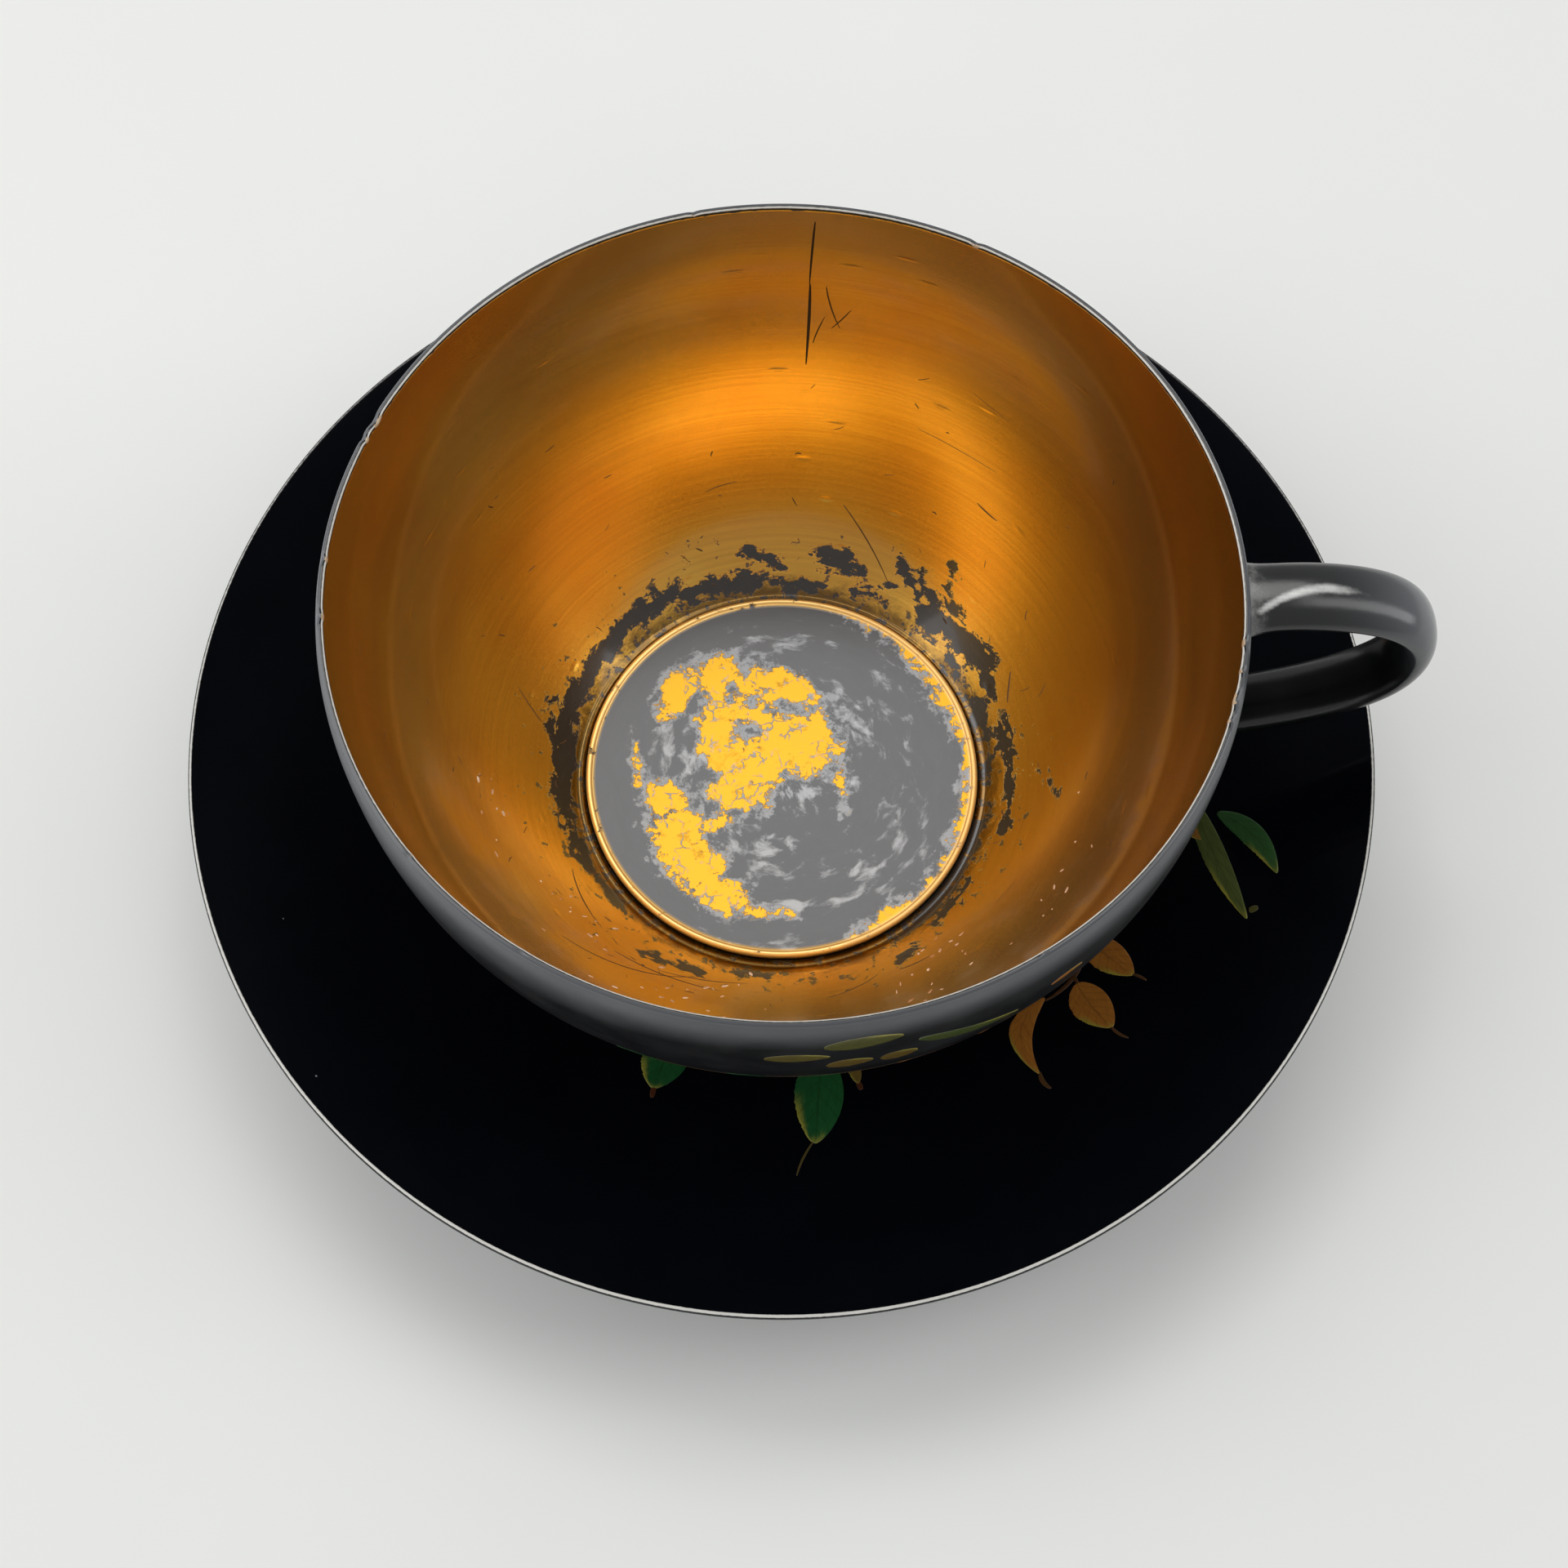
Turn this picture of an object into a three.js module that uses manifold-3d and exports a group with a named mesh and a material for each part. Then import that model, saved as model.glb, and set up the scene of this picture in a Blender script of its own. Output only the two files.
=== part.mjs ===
// A lacquered wooden teacup standing on its deep saucer.
// Both are turned on a lathe; the cup has an inlaid floor disc, a gold lacquer lining, and a bent
// handle held by two dowels. Millimetres, +Z up. The origin is on the turning axis at the height
// of the table, and the handle points along +X.
import * as THREE from "three";
import { mergeVertices } from "three/addons/utils/BufferGeometryUtils.js";
import Module from "manifold-3d";

// ---------------------------------------------------------------- driving dimensions

const facets = 48; // flats round each turned piece
const archSteps = 10; // points along a bowl's or a brim's curve

const glueLine = 0.1; // between turned pieces that are glued together
const seatGap = 0.1; // between the cup's foot and the saucer it stands on
const scribedGap = 0.3; // between the handle's scribed ends and the cup's wall

const saucer = {
  radius: 70,
  rimHeight: 26.5, // table to the rim's top
  thickness: 2, // at the well
  edgeThickness: 1.4, // at the rim
  wellMargin: 3.8, // flat of the well beyond the cup's foot
  brimCurve: 1.4, // 1 is a straight cone, more is a deeper curve towards the rim
  footHeight: 3,
  footInset: 1, // foot ring set in from the well's edge
  footWidth: 3,
};

const cup = {
  height: 55.4, // foot to rim
  rimRadius: 48.6,
  bellySwell: 0.45, // how far the belly stands out beyond the rim
  bellyDepth: 7, // rim down to the belly
  rimWall: 0.9,
  bellyWall: 1.1,
  baseLand: 1.3, // outer edge of the base beyond the groove round the floor
  ledgeThickness: 1.2, // wood under that groove, which carries the floor disc
  rimLip: 0.8, // bare rim above the lining
  footHeight: 3.9,
  footInset: 0.6, // foot ring set in from the base's edge
  footWidth: 2.6,
};

const floor = {
  radius: 24.5,
  proud: 1, // disc's face above the groove round it
  grooveWidth: 1,
  ledgeGrip: 1.2, // how far the disc's edge lies over the ledge
  edgeRadius: 0.4,
};

const lining = { thickness: 0.3 };

const handle = {
  upperDrop: 3.9, // rim down to the centre of the upper end
  lowerDrop: 32.5, // rim down to the centre of the lower end
  reach: 19.5, // belly out to the centreline's furthest point
  reachDrop: 12, // rim down to that furthest point
  upperWidth: 7.8,
  lowerWidth: 7,
  outerCrown: 2.2, // centreline to the outside face
  innerCrown: 1.9, // centreline to the flatter face that the finger meets
  buried: 2.5, // length that is cut away where the ends are scribed to the wall
};

const dowel = { radius: 1, clearance: 0.15, depthInHandle: 5 };

// ---------------------------------------------------------------- heights and radii that follow

const wellTop = saucer.footHeight + saucer.thickness;
const cupBottom = wellTop + seatGap;
const rimTop = cupBottom + cup.height;
const bellyZ = rimTop - cup.bellyDepth;
const bellyRadius = cup.rimRadius + cup.bellySwell;
const baseZ = cupBottom + cup.footHeight + glueLine;
const ledgeZ = baseZ + cup.ledgeThickness;
const grooveRadius = floor.radius + floor.grooveWidth;
const baseRadius = grooveRadius + cup.baseLand;
const spigotRadius = floor.radius - floor.ledgeGrip;
const cupFootRadius = baseRadius - cup.footInset;
const wellRadius = cupFootRadius + saucer.wellMargin;
const liningTop = rimTop - cup.rimLip - glueLine;

// ---------------------------------------------------------------- materials

const blackLacquer = new THREE.MeshStandardMaterial({
  color: 0x08090c,
  roughness: 0.18,
  metalness: 0,
});
const goldLacquer = new THREE.MeshStandardMaterial({
  color: 0xb87319,
  roughness: 0.35,
  metalness: 0.7,
});
const floorLacquer = new THREE.MeshStandardMaterial({
  color: 0x6f6a66,
  roughness: 0.3,
  metalness: 0.2,
});
const bamboo = new THREE.MeshStandardMaterial({
  color: 0xc8a468,
  roughness: 0.7,
  metalness: 0,
});

// ---------------------------------------------------------------- helpers

const wasm = await Module();
wasm.setup();

const part = new THREE.Group();

function place(name, geometry, material) {
  const mesh = new THREE.Mesh(geometry, material);
  mesh.name = name;
  part.add(mesh);
}

// Turns a profile of [radius, height] points round the Z axis.
function turned(profile) {
  const points = profile.map(([radius, height]) => new THREE.Vector2(radius, height));
  return new THREE.LatheGeometry(points, facets).rotateX(Math.PI / 2);
}

// A ring or a shell: the profile is closed on itself.
function turnedRing(profile) {
  return turned([...profile, profile[0]]);
}

function solid(geometry) {
  const bare = geometry.clone();
  bare.deleteAttribute("normal");
  bare.deleteAttribute("uv");
  const merged = mergeVertices(bare, 1e-3);
  return new wasm.Manifold(
    new wasm.Mesh({
      numProp: 3,
      vertProperties: merged.attributes.position.array,
      triVerts: new Uint32Array(merged.index.array),
    }),
  );
}

function geometryOf(manifold) {
  const mesh = manifold.getMesh();
  const geometry = new THREE.BufferGeometry();
  geometry.setAttribute("position", new THREE.BufferAttribute(mesh.vertProperties, 3));
  geometry.setIndex(new THREE.BufferAttribute(mesh.triVerts, 1));
  geometry.computeVertexNormals();
  return geometry;
}

// A profile moved away from the axis along its own normal. The profile runs from low to high,
// and its two ends keep their heights.
function grown(profile, distance) {
  const last = profile.length - 1;
  return profile.map(([radius, height], i) => {
    const [r0, z0] = profile[Math.max(i - 1, 0)];
    const [r1, z1] = profile[Math.min(i + 1, last)];
    const length = Math.hypot(r1 - r0, z1 - z0);
    if (i === 0 || i === last) return [radius + (distance * length) / (z1 - z0), height];
    return [
      radius + (distance * (z1 - z0)) / length,
      height - (distance * (r1 - r0)) / length,
    ];
  });
}

// A bowl's profile from its foot up to topZ: part of an ellipse below the belly, and a slight
// parabola that draws the wall in from the belly to the rim.
function bowlProfile(rimRadius, belly, footRadius, footZ, topZ) {
  const footAngle = Math.acos(footRadius / belly);
  const semiDepth = (bellyZ - footZ) / Math.sin(footAngle);
  const profile = [];
  for (let i = archSteps; i >= 0; i--) {
    const angle = (footAngle * i) / archSteps;
    profile.push([belly * Math.cos(angle), bellyZ - semiDepth * Math.sin(angle)]);
  }
  for (const share of [0.5, 1]) {
    const height = bellyZ + (topZ - bellyZ) * share;
    const drawnIn = ((height - bellyZ) / cup.bellyDepth) ** 2;
    profile.push([belly - (belly - rimRadius) * drawnIn, height]);
  }
  return profile;
}

// ---------------------------------------------------------------- saucer

// The brim's upper face rises from the well to the rim by a power curve. The lower face runs
// under it at a thickness that thins towards the rim, and a round edge joins the two.
const edgeRound = saucer.edgeThickness / 2;
const brimEnd = saucer.radius - edgeRound;
const brimRise = saucer.rimHeight - wellTop;
const brimSpan = brimEnd - wellRadius;

function saucerPlate() {
  const upper = [];
  const lower = [];
  for (let i = 0; i <= archSteps; i++) {
    const share = i / archSteps;
    const radius = wellRadius + brimSpan * share;
    const height = wellTop + brimRise * share ** saucer.brimCurve;
    const slope = ((brimRise * saucer.brimCurve) / brimSpan) * share ** (saucer.brimCurve - 1);
    const thickness = THREE.MathUtils.lerp(saucer.thickness, saucer.edgeThickness, share);
    upper.push([radius, height]);
    lower.push([radius, height - thickness * Math.hypot(1, slope)]);
  }
  const edge = [-0.25, 0, 0.25].map((turn) => [
    brimEnd + edgeRound * Math.cos(Math.PI * turn),
    saucer.rimHeight - edgeRound + edgeRound * Math.sin(Math.PI * turn),
  ]);
  return turned([
    [0, saucer.footHeight],
    ...lower,
    ...edge,
    ...upper.reverse(),
    [0, wellTop],
  ]);
}

place("saucer_plate", saucerPlate(), blackLacquer);

function ringProfile(outerRadius, width, bottomZ, topZ) {
  const chamfer = 0.4;
  const innerRadius = outerRadius - width;
  return [
    [innerRadius, bottomZ + chamfer],
    [innerRadius + chamfer, bottomZ],
    [outerRadius - chamfer, bottomZ],
    [outerRadius, bottomZ + chamfer],
    [outerRadius, topZ],
    [innerRadius, topZ],
  ];
}

place(
  "saucer_foot_ring",
  turnedRing(
    ringProfile(
      wellRadius - saucer.footInset,
      saucer.footWidth,
      0,
      saucer.footHeight - glueLine,
    ),
  ),
  blackLacquer,
);

// ---------------------------------------------------------------- cup

const outside = bowlProfile(
  cup.rimRadius,
  bellyRadius,
  baseRadius,
  baseZ,
  rimTop - cup.rimWall / 2,
);
const innerRim = cup.rimRadius - cup.rimWall;
const inside = bowlProfile(
  innerRim,
  bellyRadius - cup.bellyWall,
  grooveRadius,
  ledgeZ + glueLine,
  liningTop,
);
const liningBack = grown(inside, lining.thickness);
const woodFace = grown(inside, lining.thickness + glueLine);

place("gold_lining", turnedRing([...liningBack, ...inside.toReversed()]), goldLacquer);

// The hollow of the wooden body, up to the face that the lining covers.
function hollow(extra) {
  const wall = grown(inside, lining.thickness + glueLine + extra);
  return solid(turned([[0, wall[0][1]], ...wall, [0, wall.at(-1)[1]]]));
}

// The cup's outside, swollen by a gap, for scribing the handle to it.
function outsideSolid(extra) {
  const wall = grown(outside, extra);
  return solid(turned([[0, wall[0][1]], ...wall, [0, wall.at(-1)[1]]]));
}

function cupBody() {
  const holeRadius = spigotRadius + glueLine;
  const roundRadius = cup.rimWall / 2;
  const rim = [];
  for (const turn of [0.25, 0.5, 0.75]) {
    const angle = Math.PI * turn;
    rim.push([
      cup.rimRadius - roundRadius + roundRadius * Math.cos(angle),
      rimTop - roundRadius + roundRadius * Math.sin(angle),
    ]);
  }
  const lipBottom = rimTop - cup.rimLip;
  const [faceRadius] = woodFace.at(-1);
  return turnedRing([
    [holeRadius, baseZ],
    ...outside,
    ...rim,
    [innerRim, rimTop - roundRadius],
    [innerRim, lipBottom],
    [faceRadius, lipBottom],
    ...woodFace.slice(1).reverse(),
    [woodFace[0][0], ledgeZ],
    [holeRadius, ledgeZ],
  ]);
}

place(
  "cup_foot_ring",
  turnedRing(
    ringProfile(cupFootRadius, cup.footWidth, cupBottom, baseZ - glueLine),
  ),
  blackLacquer,
);

// The floor disc drops into the base from above: its edge lies on the ledge, and its spigot
// fills the hole.
const discTop = ledgeZ + floor.proud;
place(
  "cup_floor_disc",
  turned([
    [0, baseZ],
    [spigotRadius, baseZ],
    [spigotRadius, ledgeZ + glueLine],
    [floor.radius, ledgeZ + glueLine],
    [floor.radius, discTop - floor.edgeRadius],
    [floor.radius - floor.edgeRadius * 0.3, discTop - floor.edgeRadius * 0.3],
    [floor.radius - floor.edgeRadius, discTop],
    [0, discTop],
  ]),
  floorLacquer,
);

// ---------------------------------------------------------------- handle and its dowels

// Radius of the cup's outside at a height, from the straight runs of its profile.
function outsideRadius(height) {
  const above = outside.findIndex(([, z]) => z >= height);
  const [r0, z0] = outside[above - 1];
  const [r1, z1] = outside[above];
  return r0 + ((r1 - r0) * (height - z0)) / (z1 - z0);
}

const upperZ = rimTop - handle.upperDrop;
const lowerZ = rimTop - handle.lowerDrop;
const furthest = new THREE.Vector3(
  bellyRadius + handle.reach,
  0,
  rimTop - handle.reachDrop,
);
const upperEnd = new THREE.Vector3(outsideRadius(upperZ) - handle.buried, 0, upperZ);
const lowerEnd = new THREE.Vector3(outsideRadius(lowerZ) - handle.buried, 0, lowerZ);

// Two cubic curves that meet, upright, at the furthest point. The pulls are how far each
// control point stands from its end.
function handlePath() {
  const upperPull = new THREE.Vector3(9, 0, 3.2);
  const shoulderPull = 10;
  const lowerTurnPull = 10;
  const lowerPull = new THREE.Vector3(17.5, 0, 5.5);
  const path = new THREE.CurvePath();
  path.add(
    new THREE.CubicBezierCurve3(
      upperEnd,
      upperEnd.clone().add(upperPull),
      furthest.clone().setZ(furthest.z + shoulderPull),
      furthest,
    ),
  );
  path.add(
    new THREE.CubicBezierCurve3(
      furthest,
      furthest.clone().setZ(furthest.z - lowerTurnPull),
      lowerEnd.clone().add(lowerPull),
      lowerEnd,
    ),
  );
  return path;
}

const path = handlePath();

function handleSolid() {
  const section = new THREE.Shape();
  const halfWidth = handle.upperWidth / 2;
  section.absellipse(0, 0, halfWidth, handle.innerCrown, 0, Math.PI, false);
  section.absellipse(0, 0, halfWidth, handle.outerCrown, Math.PI, 2 * Math.PI, false);
  const bent = new THREE.ExtrudeGeometry(section, {
    extrudePath: path,
    steps: 28,
    curveSegments: 5,
  });
  // The handle narrows from its upper end to its lower one.
  const position = bent.attributes.position;
  for (let i = 0; i < position.count; i++) {
    const share = THREE.MathUtils.clamp(
      (position.getZ(i) - lowerZ) / (upperZ - lowerZ),
      0,
      1,
    );
    const width = THREE.MathUtils.lerp(handle.lowerWidth, handle.upperWidth, share);
    position.setY(i, (position.getY(i) * width) / handle.upperWidth);
  }
  return solid(bent);
}

// A round bar along the handle's centreline at one of its ends: it starts well inside the cup
// and stops at `depth` beyond the wall.
function endBar({ end, outward }, radius, depth) {
  const bar = new THREE.CylinderGeometry(radius, radius, depth + 2 * handle.buried, 16);
  bar.translate(0, depth / 2 + handle.buried, 0);
  bar.applyQuaternion(
    new THREE.Quaternion().setFromUnitVectors(new THREE.Vector3(0, 1, 0), outward),
  );
  bar.translate(
    end.x - outward.x * handle.buried,
    end.y - outward.y * handle.buried,
    end.z - outward.z * handle.buried,
  );
  return solid(bar);
}

// Each dowel points along the chord of the centreline's first stretch.
const dowelChord = 0.09; // that stretch, as a share of the centreline
const ends = [
  {
    name: "handle_upper_dowel",
    end: upperEnd,
    outward: path.getPoint(dowelChord).sub(upperEnd).normalize(),
  },
  {
    name: "handle_lower_dowel",
    end: lowerEnd,
    outward: path.getPoint(1 - dowelChord).sub(lowerEnd).normalize(),
  },
];

let body = solid(cupBody());
let grip = handleSolid().subtract(outsideSolid(scribedGap));
for (const end of ends) {
  const holeRadius = dowel.radius + dowel.clearance;
  const hole = endBar(end, holeRadius, dowel.depthInHandle + dowel.clearance);
  body = body.subtract(hole);
  grip = grip.subtract(hole);
  const pin = endBar(end, dowel.radius, dowel.depthInHandle);
  place(end.name, geometryOf(pin.subtract(hollow(glueLine))), bamboo);
}
place("cup_body", geometryOf(body), blackLacquer);
place("handle", geometryOf(grip), blackLacquer);

export default part;
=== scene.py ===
# %% [markdown]
# # A black and gold lacquered teacup on its saucer
# The cup and the saucer are turned from wood so thin that light almost passes through it. Coat after
# coat of black lacquer makes them hard and glossy, gold powder is dusted into the last coat inside the
# cup, and a few leaves are painted on top. Years of spoons have worn the gold away round the floor.
#
# A packed engineering model gives the exact sizes. Here every piece of it gets a smooth, fine surface
# and a finish that is worked out from what the real one is made of.

# %% Open the frame
import math

import bpy
import numpy as np
from mathutils import Matrix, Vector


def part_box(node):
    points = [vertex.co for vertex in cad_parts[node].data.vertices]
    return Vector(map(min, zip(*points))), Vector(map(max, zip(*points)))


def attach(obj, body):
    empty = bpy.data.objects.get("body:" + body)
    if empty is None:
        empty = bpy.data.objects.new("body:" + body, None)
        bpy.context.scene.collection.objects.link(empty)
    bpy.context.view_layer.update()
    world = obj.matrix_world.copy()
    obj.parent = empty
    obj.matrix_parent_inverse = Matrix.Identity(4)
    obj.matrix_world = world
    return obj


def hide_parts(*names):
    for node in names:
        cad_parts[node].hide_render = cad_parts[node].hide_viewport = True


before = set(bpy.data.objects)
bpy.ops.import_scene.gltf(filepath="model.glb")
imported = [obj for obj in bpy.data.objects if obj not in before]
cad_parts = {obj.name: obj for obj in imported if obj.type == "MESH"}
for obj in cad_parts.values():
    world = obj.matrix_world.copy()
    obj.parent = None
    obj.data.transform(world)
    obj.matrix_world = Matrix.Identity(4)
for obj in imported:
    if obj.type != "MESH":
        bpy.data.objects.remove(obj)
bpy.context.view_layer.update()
MM = 0.001

# %% [markdown]
# ## The camera
# The camera looks steeply down into the cup, as someone about to drink does. It is placed by what it
# aims at, how high it stands over the horizon and how far away it is, and its three axes are built
# from those: back towards the camera, right, and up, turned a little by the roll of the hand.

# %% Camera
camera_aim = np.array([0.3, -7.1, 23.4]) * MM
camera_distance = 251.7 * MM
camera_elevation = math.radians(66.45)
camera_roll = math.radians(0.8)
sensor_width = 36.0
focal_length = 48.75

back = np.array([0, -math.cos(camera_elevation), math.sin(camera_elevation)])
level_right = np.array([1.0, 0, 0])
level_up = np.cross(back, level_right)
right = math.cos(camera_roll) * level_right + math.sin(camera_roll) * level_up
up = math.cos(camera_roll) * level_up - math.sin(camera_roll) * level_right

camera_data = bpy.data.cameras.new("camera")
camera_data.sensor_width = sensor_width
camera_data.lens = focal_length
camera_data.clip_start = 1 * MM
camera = bpy.data.objects.new("camera", camera_data)
turn = Matrix((right, up, back)).transposed().to_4x4()
camera.matrix_world = Matrix.Translation(camera_aim + camera_distance * back) @ turn
bpy.context.scene.collection.objects.link(camera)
bpy.context.scene.camera = camera
print("camera height mm:", round(camera.matrix_world.translation.z / MM, 1))

# %% [markdown]
# ## Sizes
# The sizes that the frame holds are read from it, node by node. What a box can't say, such as how
# thick a wall is or how the brim curves, is named here once, in millimetres.

# %% Sizes read from the frame
def corners(node):
    """The lowest and the highest corner of a CAD node, in millimetres."""
    low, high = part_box(node)
    return np.array(low) / MM, np.array(high) / MM


plate_low, plate_high = corners("saucer_plate")
saucer_foot_low, saucer_foot_high = corners("saucer_foot_ring")
body_low, body_high = corners("cup_body")
cup_foot_low, cup_foot_high = corners("cup_foot_ring")
disc_high = corners("cup_floor_disc")[1]
lining_low = corners("gold_lining")[0]
handle_high = corners("handle")[1]

saucer_radius, saucer_rim = plate_high[1:]
cup_foot_radius = cup_foot_high[1]
belly_radius = body_high[1]
rim_top = body_high[2]
base_z = body_low[2]
disc_radius = disc_high[1]
print("saucer", saucer_radius * 2, "cup", round(belly_radius * 2, 1), "height", rim_top)

# %% Sizes of walls and curves
well_thickness = 2.0
saucer_edge = 1.4
edge_round = 0.4
brim_curve = 1.4
well_margin = 3.8
foot_width_saucer = 3.0
foot_width_cup = 2.6
foot_chamfer = 0.4

belly_depth = 7.0
belly_swell = 0.45
rim_wall = 0.9
belly_wall = 1.1
base_land = 1.3
ledge = 1.2
rim_lip = 0.45
lip_thinning = 0.3
lip_curl = 3.5
groove_width = 1.0
ledge_grip = 1.2
glue_line = 0.1
lining_thickness = 0.3

well_top = plate_low[2] + well_thickness
well_radius = cup_foot_radius + well_margin
brim_end = saucer_radius - edge_round
belly_z = rim_top - belly_depth
rim_radius = belly_radius - belly_swell
groove_radius = disc_radius + groove_width
base_radius = groove_radius + base_land
ledge_z = base_z + ledge
spigot_radius = disc_radius - ledge_grip

# %% [markdown]
# ## From a grid of points to a closed mesh
# Nearly every piece here is a surface of two parameters: how far along, and how far round. The points
# are worked out as whole arrays, and each point is joined to its neighbours by quads. Where a row would
# shrink to a single point, that point becomes a pole with a fan of triangles. The signed volume then
# says whether the faces look outwards, and turns them all over if they don't.

# %% Mesh helpers
def quads_between(rows, columns, wrap_rows):
    """Quads of a grid whose columns close on themselves: each joins a point, the next one round,
    and the same two one row on. With wrap_rows the last row is joined to the first."""
    row = np.arange(rows if wrap_rows else rows - 1)[:, None]
    column = np.arange(columns)[None, :]
    next_row = (row + 1) % rows
    next_column = (column + 1) % columns
    corner = np.stack(np.broadcast_arrays(
        row * columns + column,
        row * columns + next_column,
        next_row * columns + next_column,
        next_row * columns + column,
    ), -1)
    return corner.reshape(-1, 4)


def fan(pole, ring, turned_over):
    """Triangles from a pole to each pair of neighbours on a ring."""
    pair = np.stack([ring, np.roll(ring, -1)], -1)
    if turned_over:
        pair = pair[:, ::-1]
    return np.column_stack([np.full(len(ring), pole), pair])


def end_fans(count, around):
    """The fans that close both ends of a grid of `count` points, whose two poles come after it."""
    first = np.arange(around)
    return np.vstack([
        fan(count, first, turned_over=True),
        fan(count + 1, first + count - around, turned_over=False),
    ])


def signed_volume(points, triangles):
    """A sixth of the sum of a . (b x c) over all triangles: positive when faces look outwards."""
    a, b, c = (points[triangles[:, i]] for i in range(3))
    return np.einsum("ij,ij->", a, np.cross(b, c)) / 6


def make_piece(name, points_mm, quads, triangles, attributes=None):
    """A mesh object from points in millimetres, with float or vector values stored on its points."""
    points = points_mm * MM
    split = np.vstack([quads[:, [0, 1, 2]], quads[:, [0, 2, 3]], triangles])
    if signed_volume(points, split) < 0:
        quads = quads[:, ::-1]
        triangles = triangles[:, ::-1]
    mesh = bpy.data.meshes.new(name)
    mesh.vertices.add(len(points))
    mesh.vertices.foreach_set("co", points.ravel())
    sizes = np.concatenate([np.full(len(quads), 4), np.full(len(triangles), 3)])
    mesh.loops.add(int(sizes.sum()))
    mesh.polygons.add(len(sizes))
    mesh.loops.foreach_set("vertex_index", np.concatenate([quads.ravel(), triangles.ravel()]))
    mesh.polygons.foreach_set("loop_start", np.concatenate([[0], np.cumsum(sizes)[:-1]]))
    mesh.polygons.foreach_set("use_smooth", np.ones(len(sizes), bool))
    mesh.update(calc_edges=True)
    for key, values in (attributes or {}).items():
        kind = "FLOAT_VECTOR" if values.ndim == 2 else "FLOAT"
        stored = mesh.attributes.new(key, kind, "POINT")
        stored.data.foreach_set("vector" if values.ndim == 2 else "value", values.ravel())
    piece = bpy.data.objects.new(name, mesh)
    bpy.context.scene.collection.objects.link(piece)
    print(f"{name}: {len(points)} points, {len(split)} triangles")
    return piece


# %% Turning a profile
def revolve(profile, around):
    """Turns a profile of (radius, height) rows round the Z axis: each row gives a ring at
    (radius cos angle, radius sin angle, height). A profile that begins and ends on the axis gets
    poles there, and any other is closed on itself. Returns points, quads and triangles."""
    poles = profile[0, 0] == 0
    rings = profile[1:-1] if poles else profile
    angle = np.arange(around) * 2 * np.pi / around
    radius, height = rings[:, 0, None], rings[:, 1, None]
    ring_points = np.stack([
        radius * np.cos(angle),
        radius * np.sin(angle),
        height + 0 * angle,
    ], -1).reshape(-1, 3)
    quads = quads_between(len(rings), around, wrap_rows=not poles)
    if not poles:
        return ring_points, quads, np.zeros((0, 3), int)
    ends = np.array([[0, 0, profile[0, 1]], [0, 0, profile[-1, 1]]])
    return np.vstack([ring_points, ends]), quads, end_fans(len(ring_points), around)


def level(radii, height):
    """Rows of (radius, height) that are all at one height."""
    return np.column_stack([radii, 0 * radii + height])


def arc(centre, radius, start, end, count):
    """Points on a circular arc: the centre plus radius times cosine and sine of the turn."""
    turn = np.radians(np.linspace(start, end, count))
    return np.column_stack([centre[0] + radius * np.cos(turn), centre[1] + radius * np.sin(turn)])


def moved_out(profile, distance):
    """A profile moved sideways along its own normal, its tangent turned by a right angle."""
    along = np.gradient(profile, axis=0)
    along /= np.hypot(along[:, :1], along[:, 1:])
    return profile + distance * np.column_stack([along[:, 1], -along[:, 0]])


def on_cylinder(radius, azimuth, height):
    """Places on a cylinder of another radius, which stretches a pattern round the piece."""
    return np.column_stack([radius * np.cos(azimuth), radius * np.sin(azimuth), height])


def azimuth_of(points):
    return np.arctan2(points[:, 1], points[:, 0])


# Points round each turned piece, and rings along each of its curves.
AROUND_SAUCER, AROUND_CUP, AROUND_LINING, AROUND_DISC = 320, 720, 600, 480
BRIM_RINGS, WELL_RINGS, EDGE_RINGS = 110, 14, 14
OUTSIDE_RINGS, WOOD_RINGS, LIP_RINGS, LINING_RINGS = 140, 40, 17, 210
FACE_RINGS, BEAD_RINGS, FOOT_RINGS, FOOT_CORNER_RINGS = 120, 16, 6, 7

# %% [markdown]
# ## Shapes of the cup and the saucer
# Below its belly the bowl is part of an ellipse. Above it the wall draws in by a slight parabola, which
# makes the lip kind to drink from. The brim of the saucer rises by a power of the distance from its
# well, so that it starts level and steepens evenly.

# %% Curves of the bowl and the brim
wall_crowding = 1.25
inside_curl = 2


def bowl_radius(height, at_rim, at_belly, at_foot, foot_z, curl):
    """Radius at a height: at_belly times the square root of one minus the squared share of the
    ellipse's depth below the belly, and above it less a power, `curl`, of the share of the way up."""
    semi_depth = (belly_z - foot_z) / np.sqrt(1 - (at_foot / at_belly) ** 2)
    below = np.clip((belly_z - height) / semi_depth, 0, 1)
    above = np.clip((height - belly_z) / belly_depth, 0, 1)
    return at_belly * np.sqrt(1 - below**2) - (at_belly - at_rim) * above**curl


def outside_radius(height):
    return bowl_radius(
        height, rim_radius - lip_thinning, belly_radius, base_radius, base_z, lip_curl
    )


def inside_radius(height):
    return bowl_radius(
        height,
        rim_radius - rim_wall,
        belly_radius - belly_wall,
        groove_radius,
        lining_low[2],
        inside_curl,
    )


def wall_profile(radius_at, bottom, top, count):
    """Rows of (radius, height) up a wall, closer together low down, where it curves in."""
    share = np.linspace(0, 1, count) ** wall_crowding
    height = bottom + (top - bottom) * share
    return np.column_stack([radius_at(height), height])


def brim_height(radius):
    share = np.clip((radius - well_radius) / (brim_end - well_radius), 0, None)
    return well_top + (saucer_rim - well_top) * share**brim_curve


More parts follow.
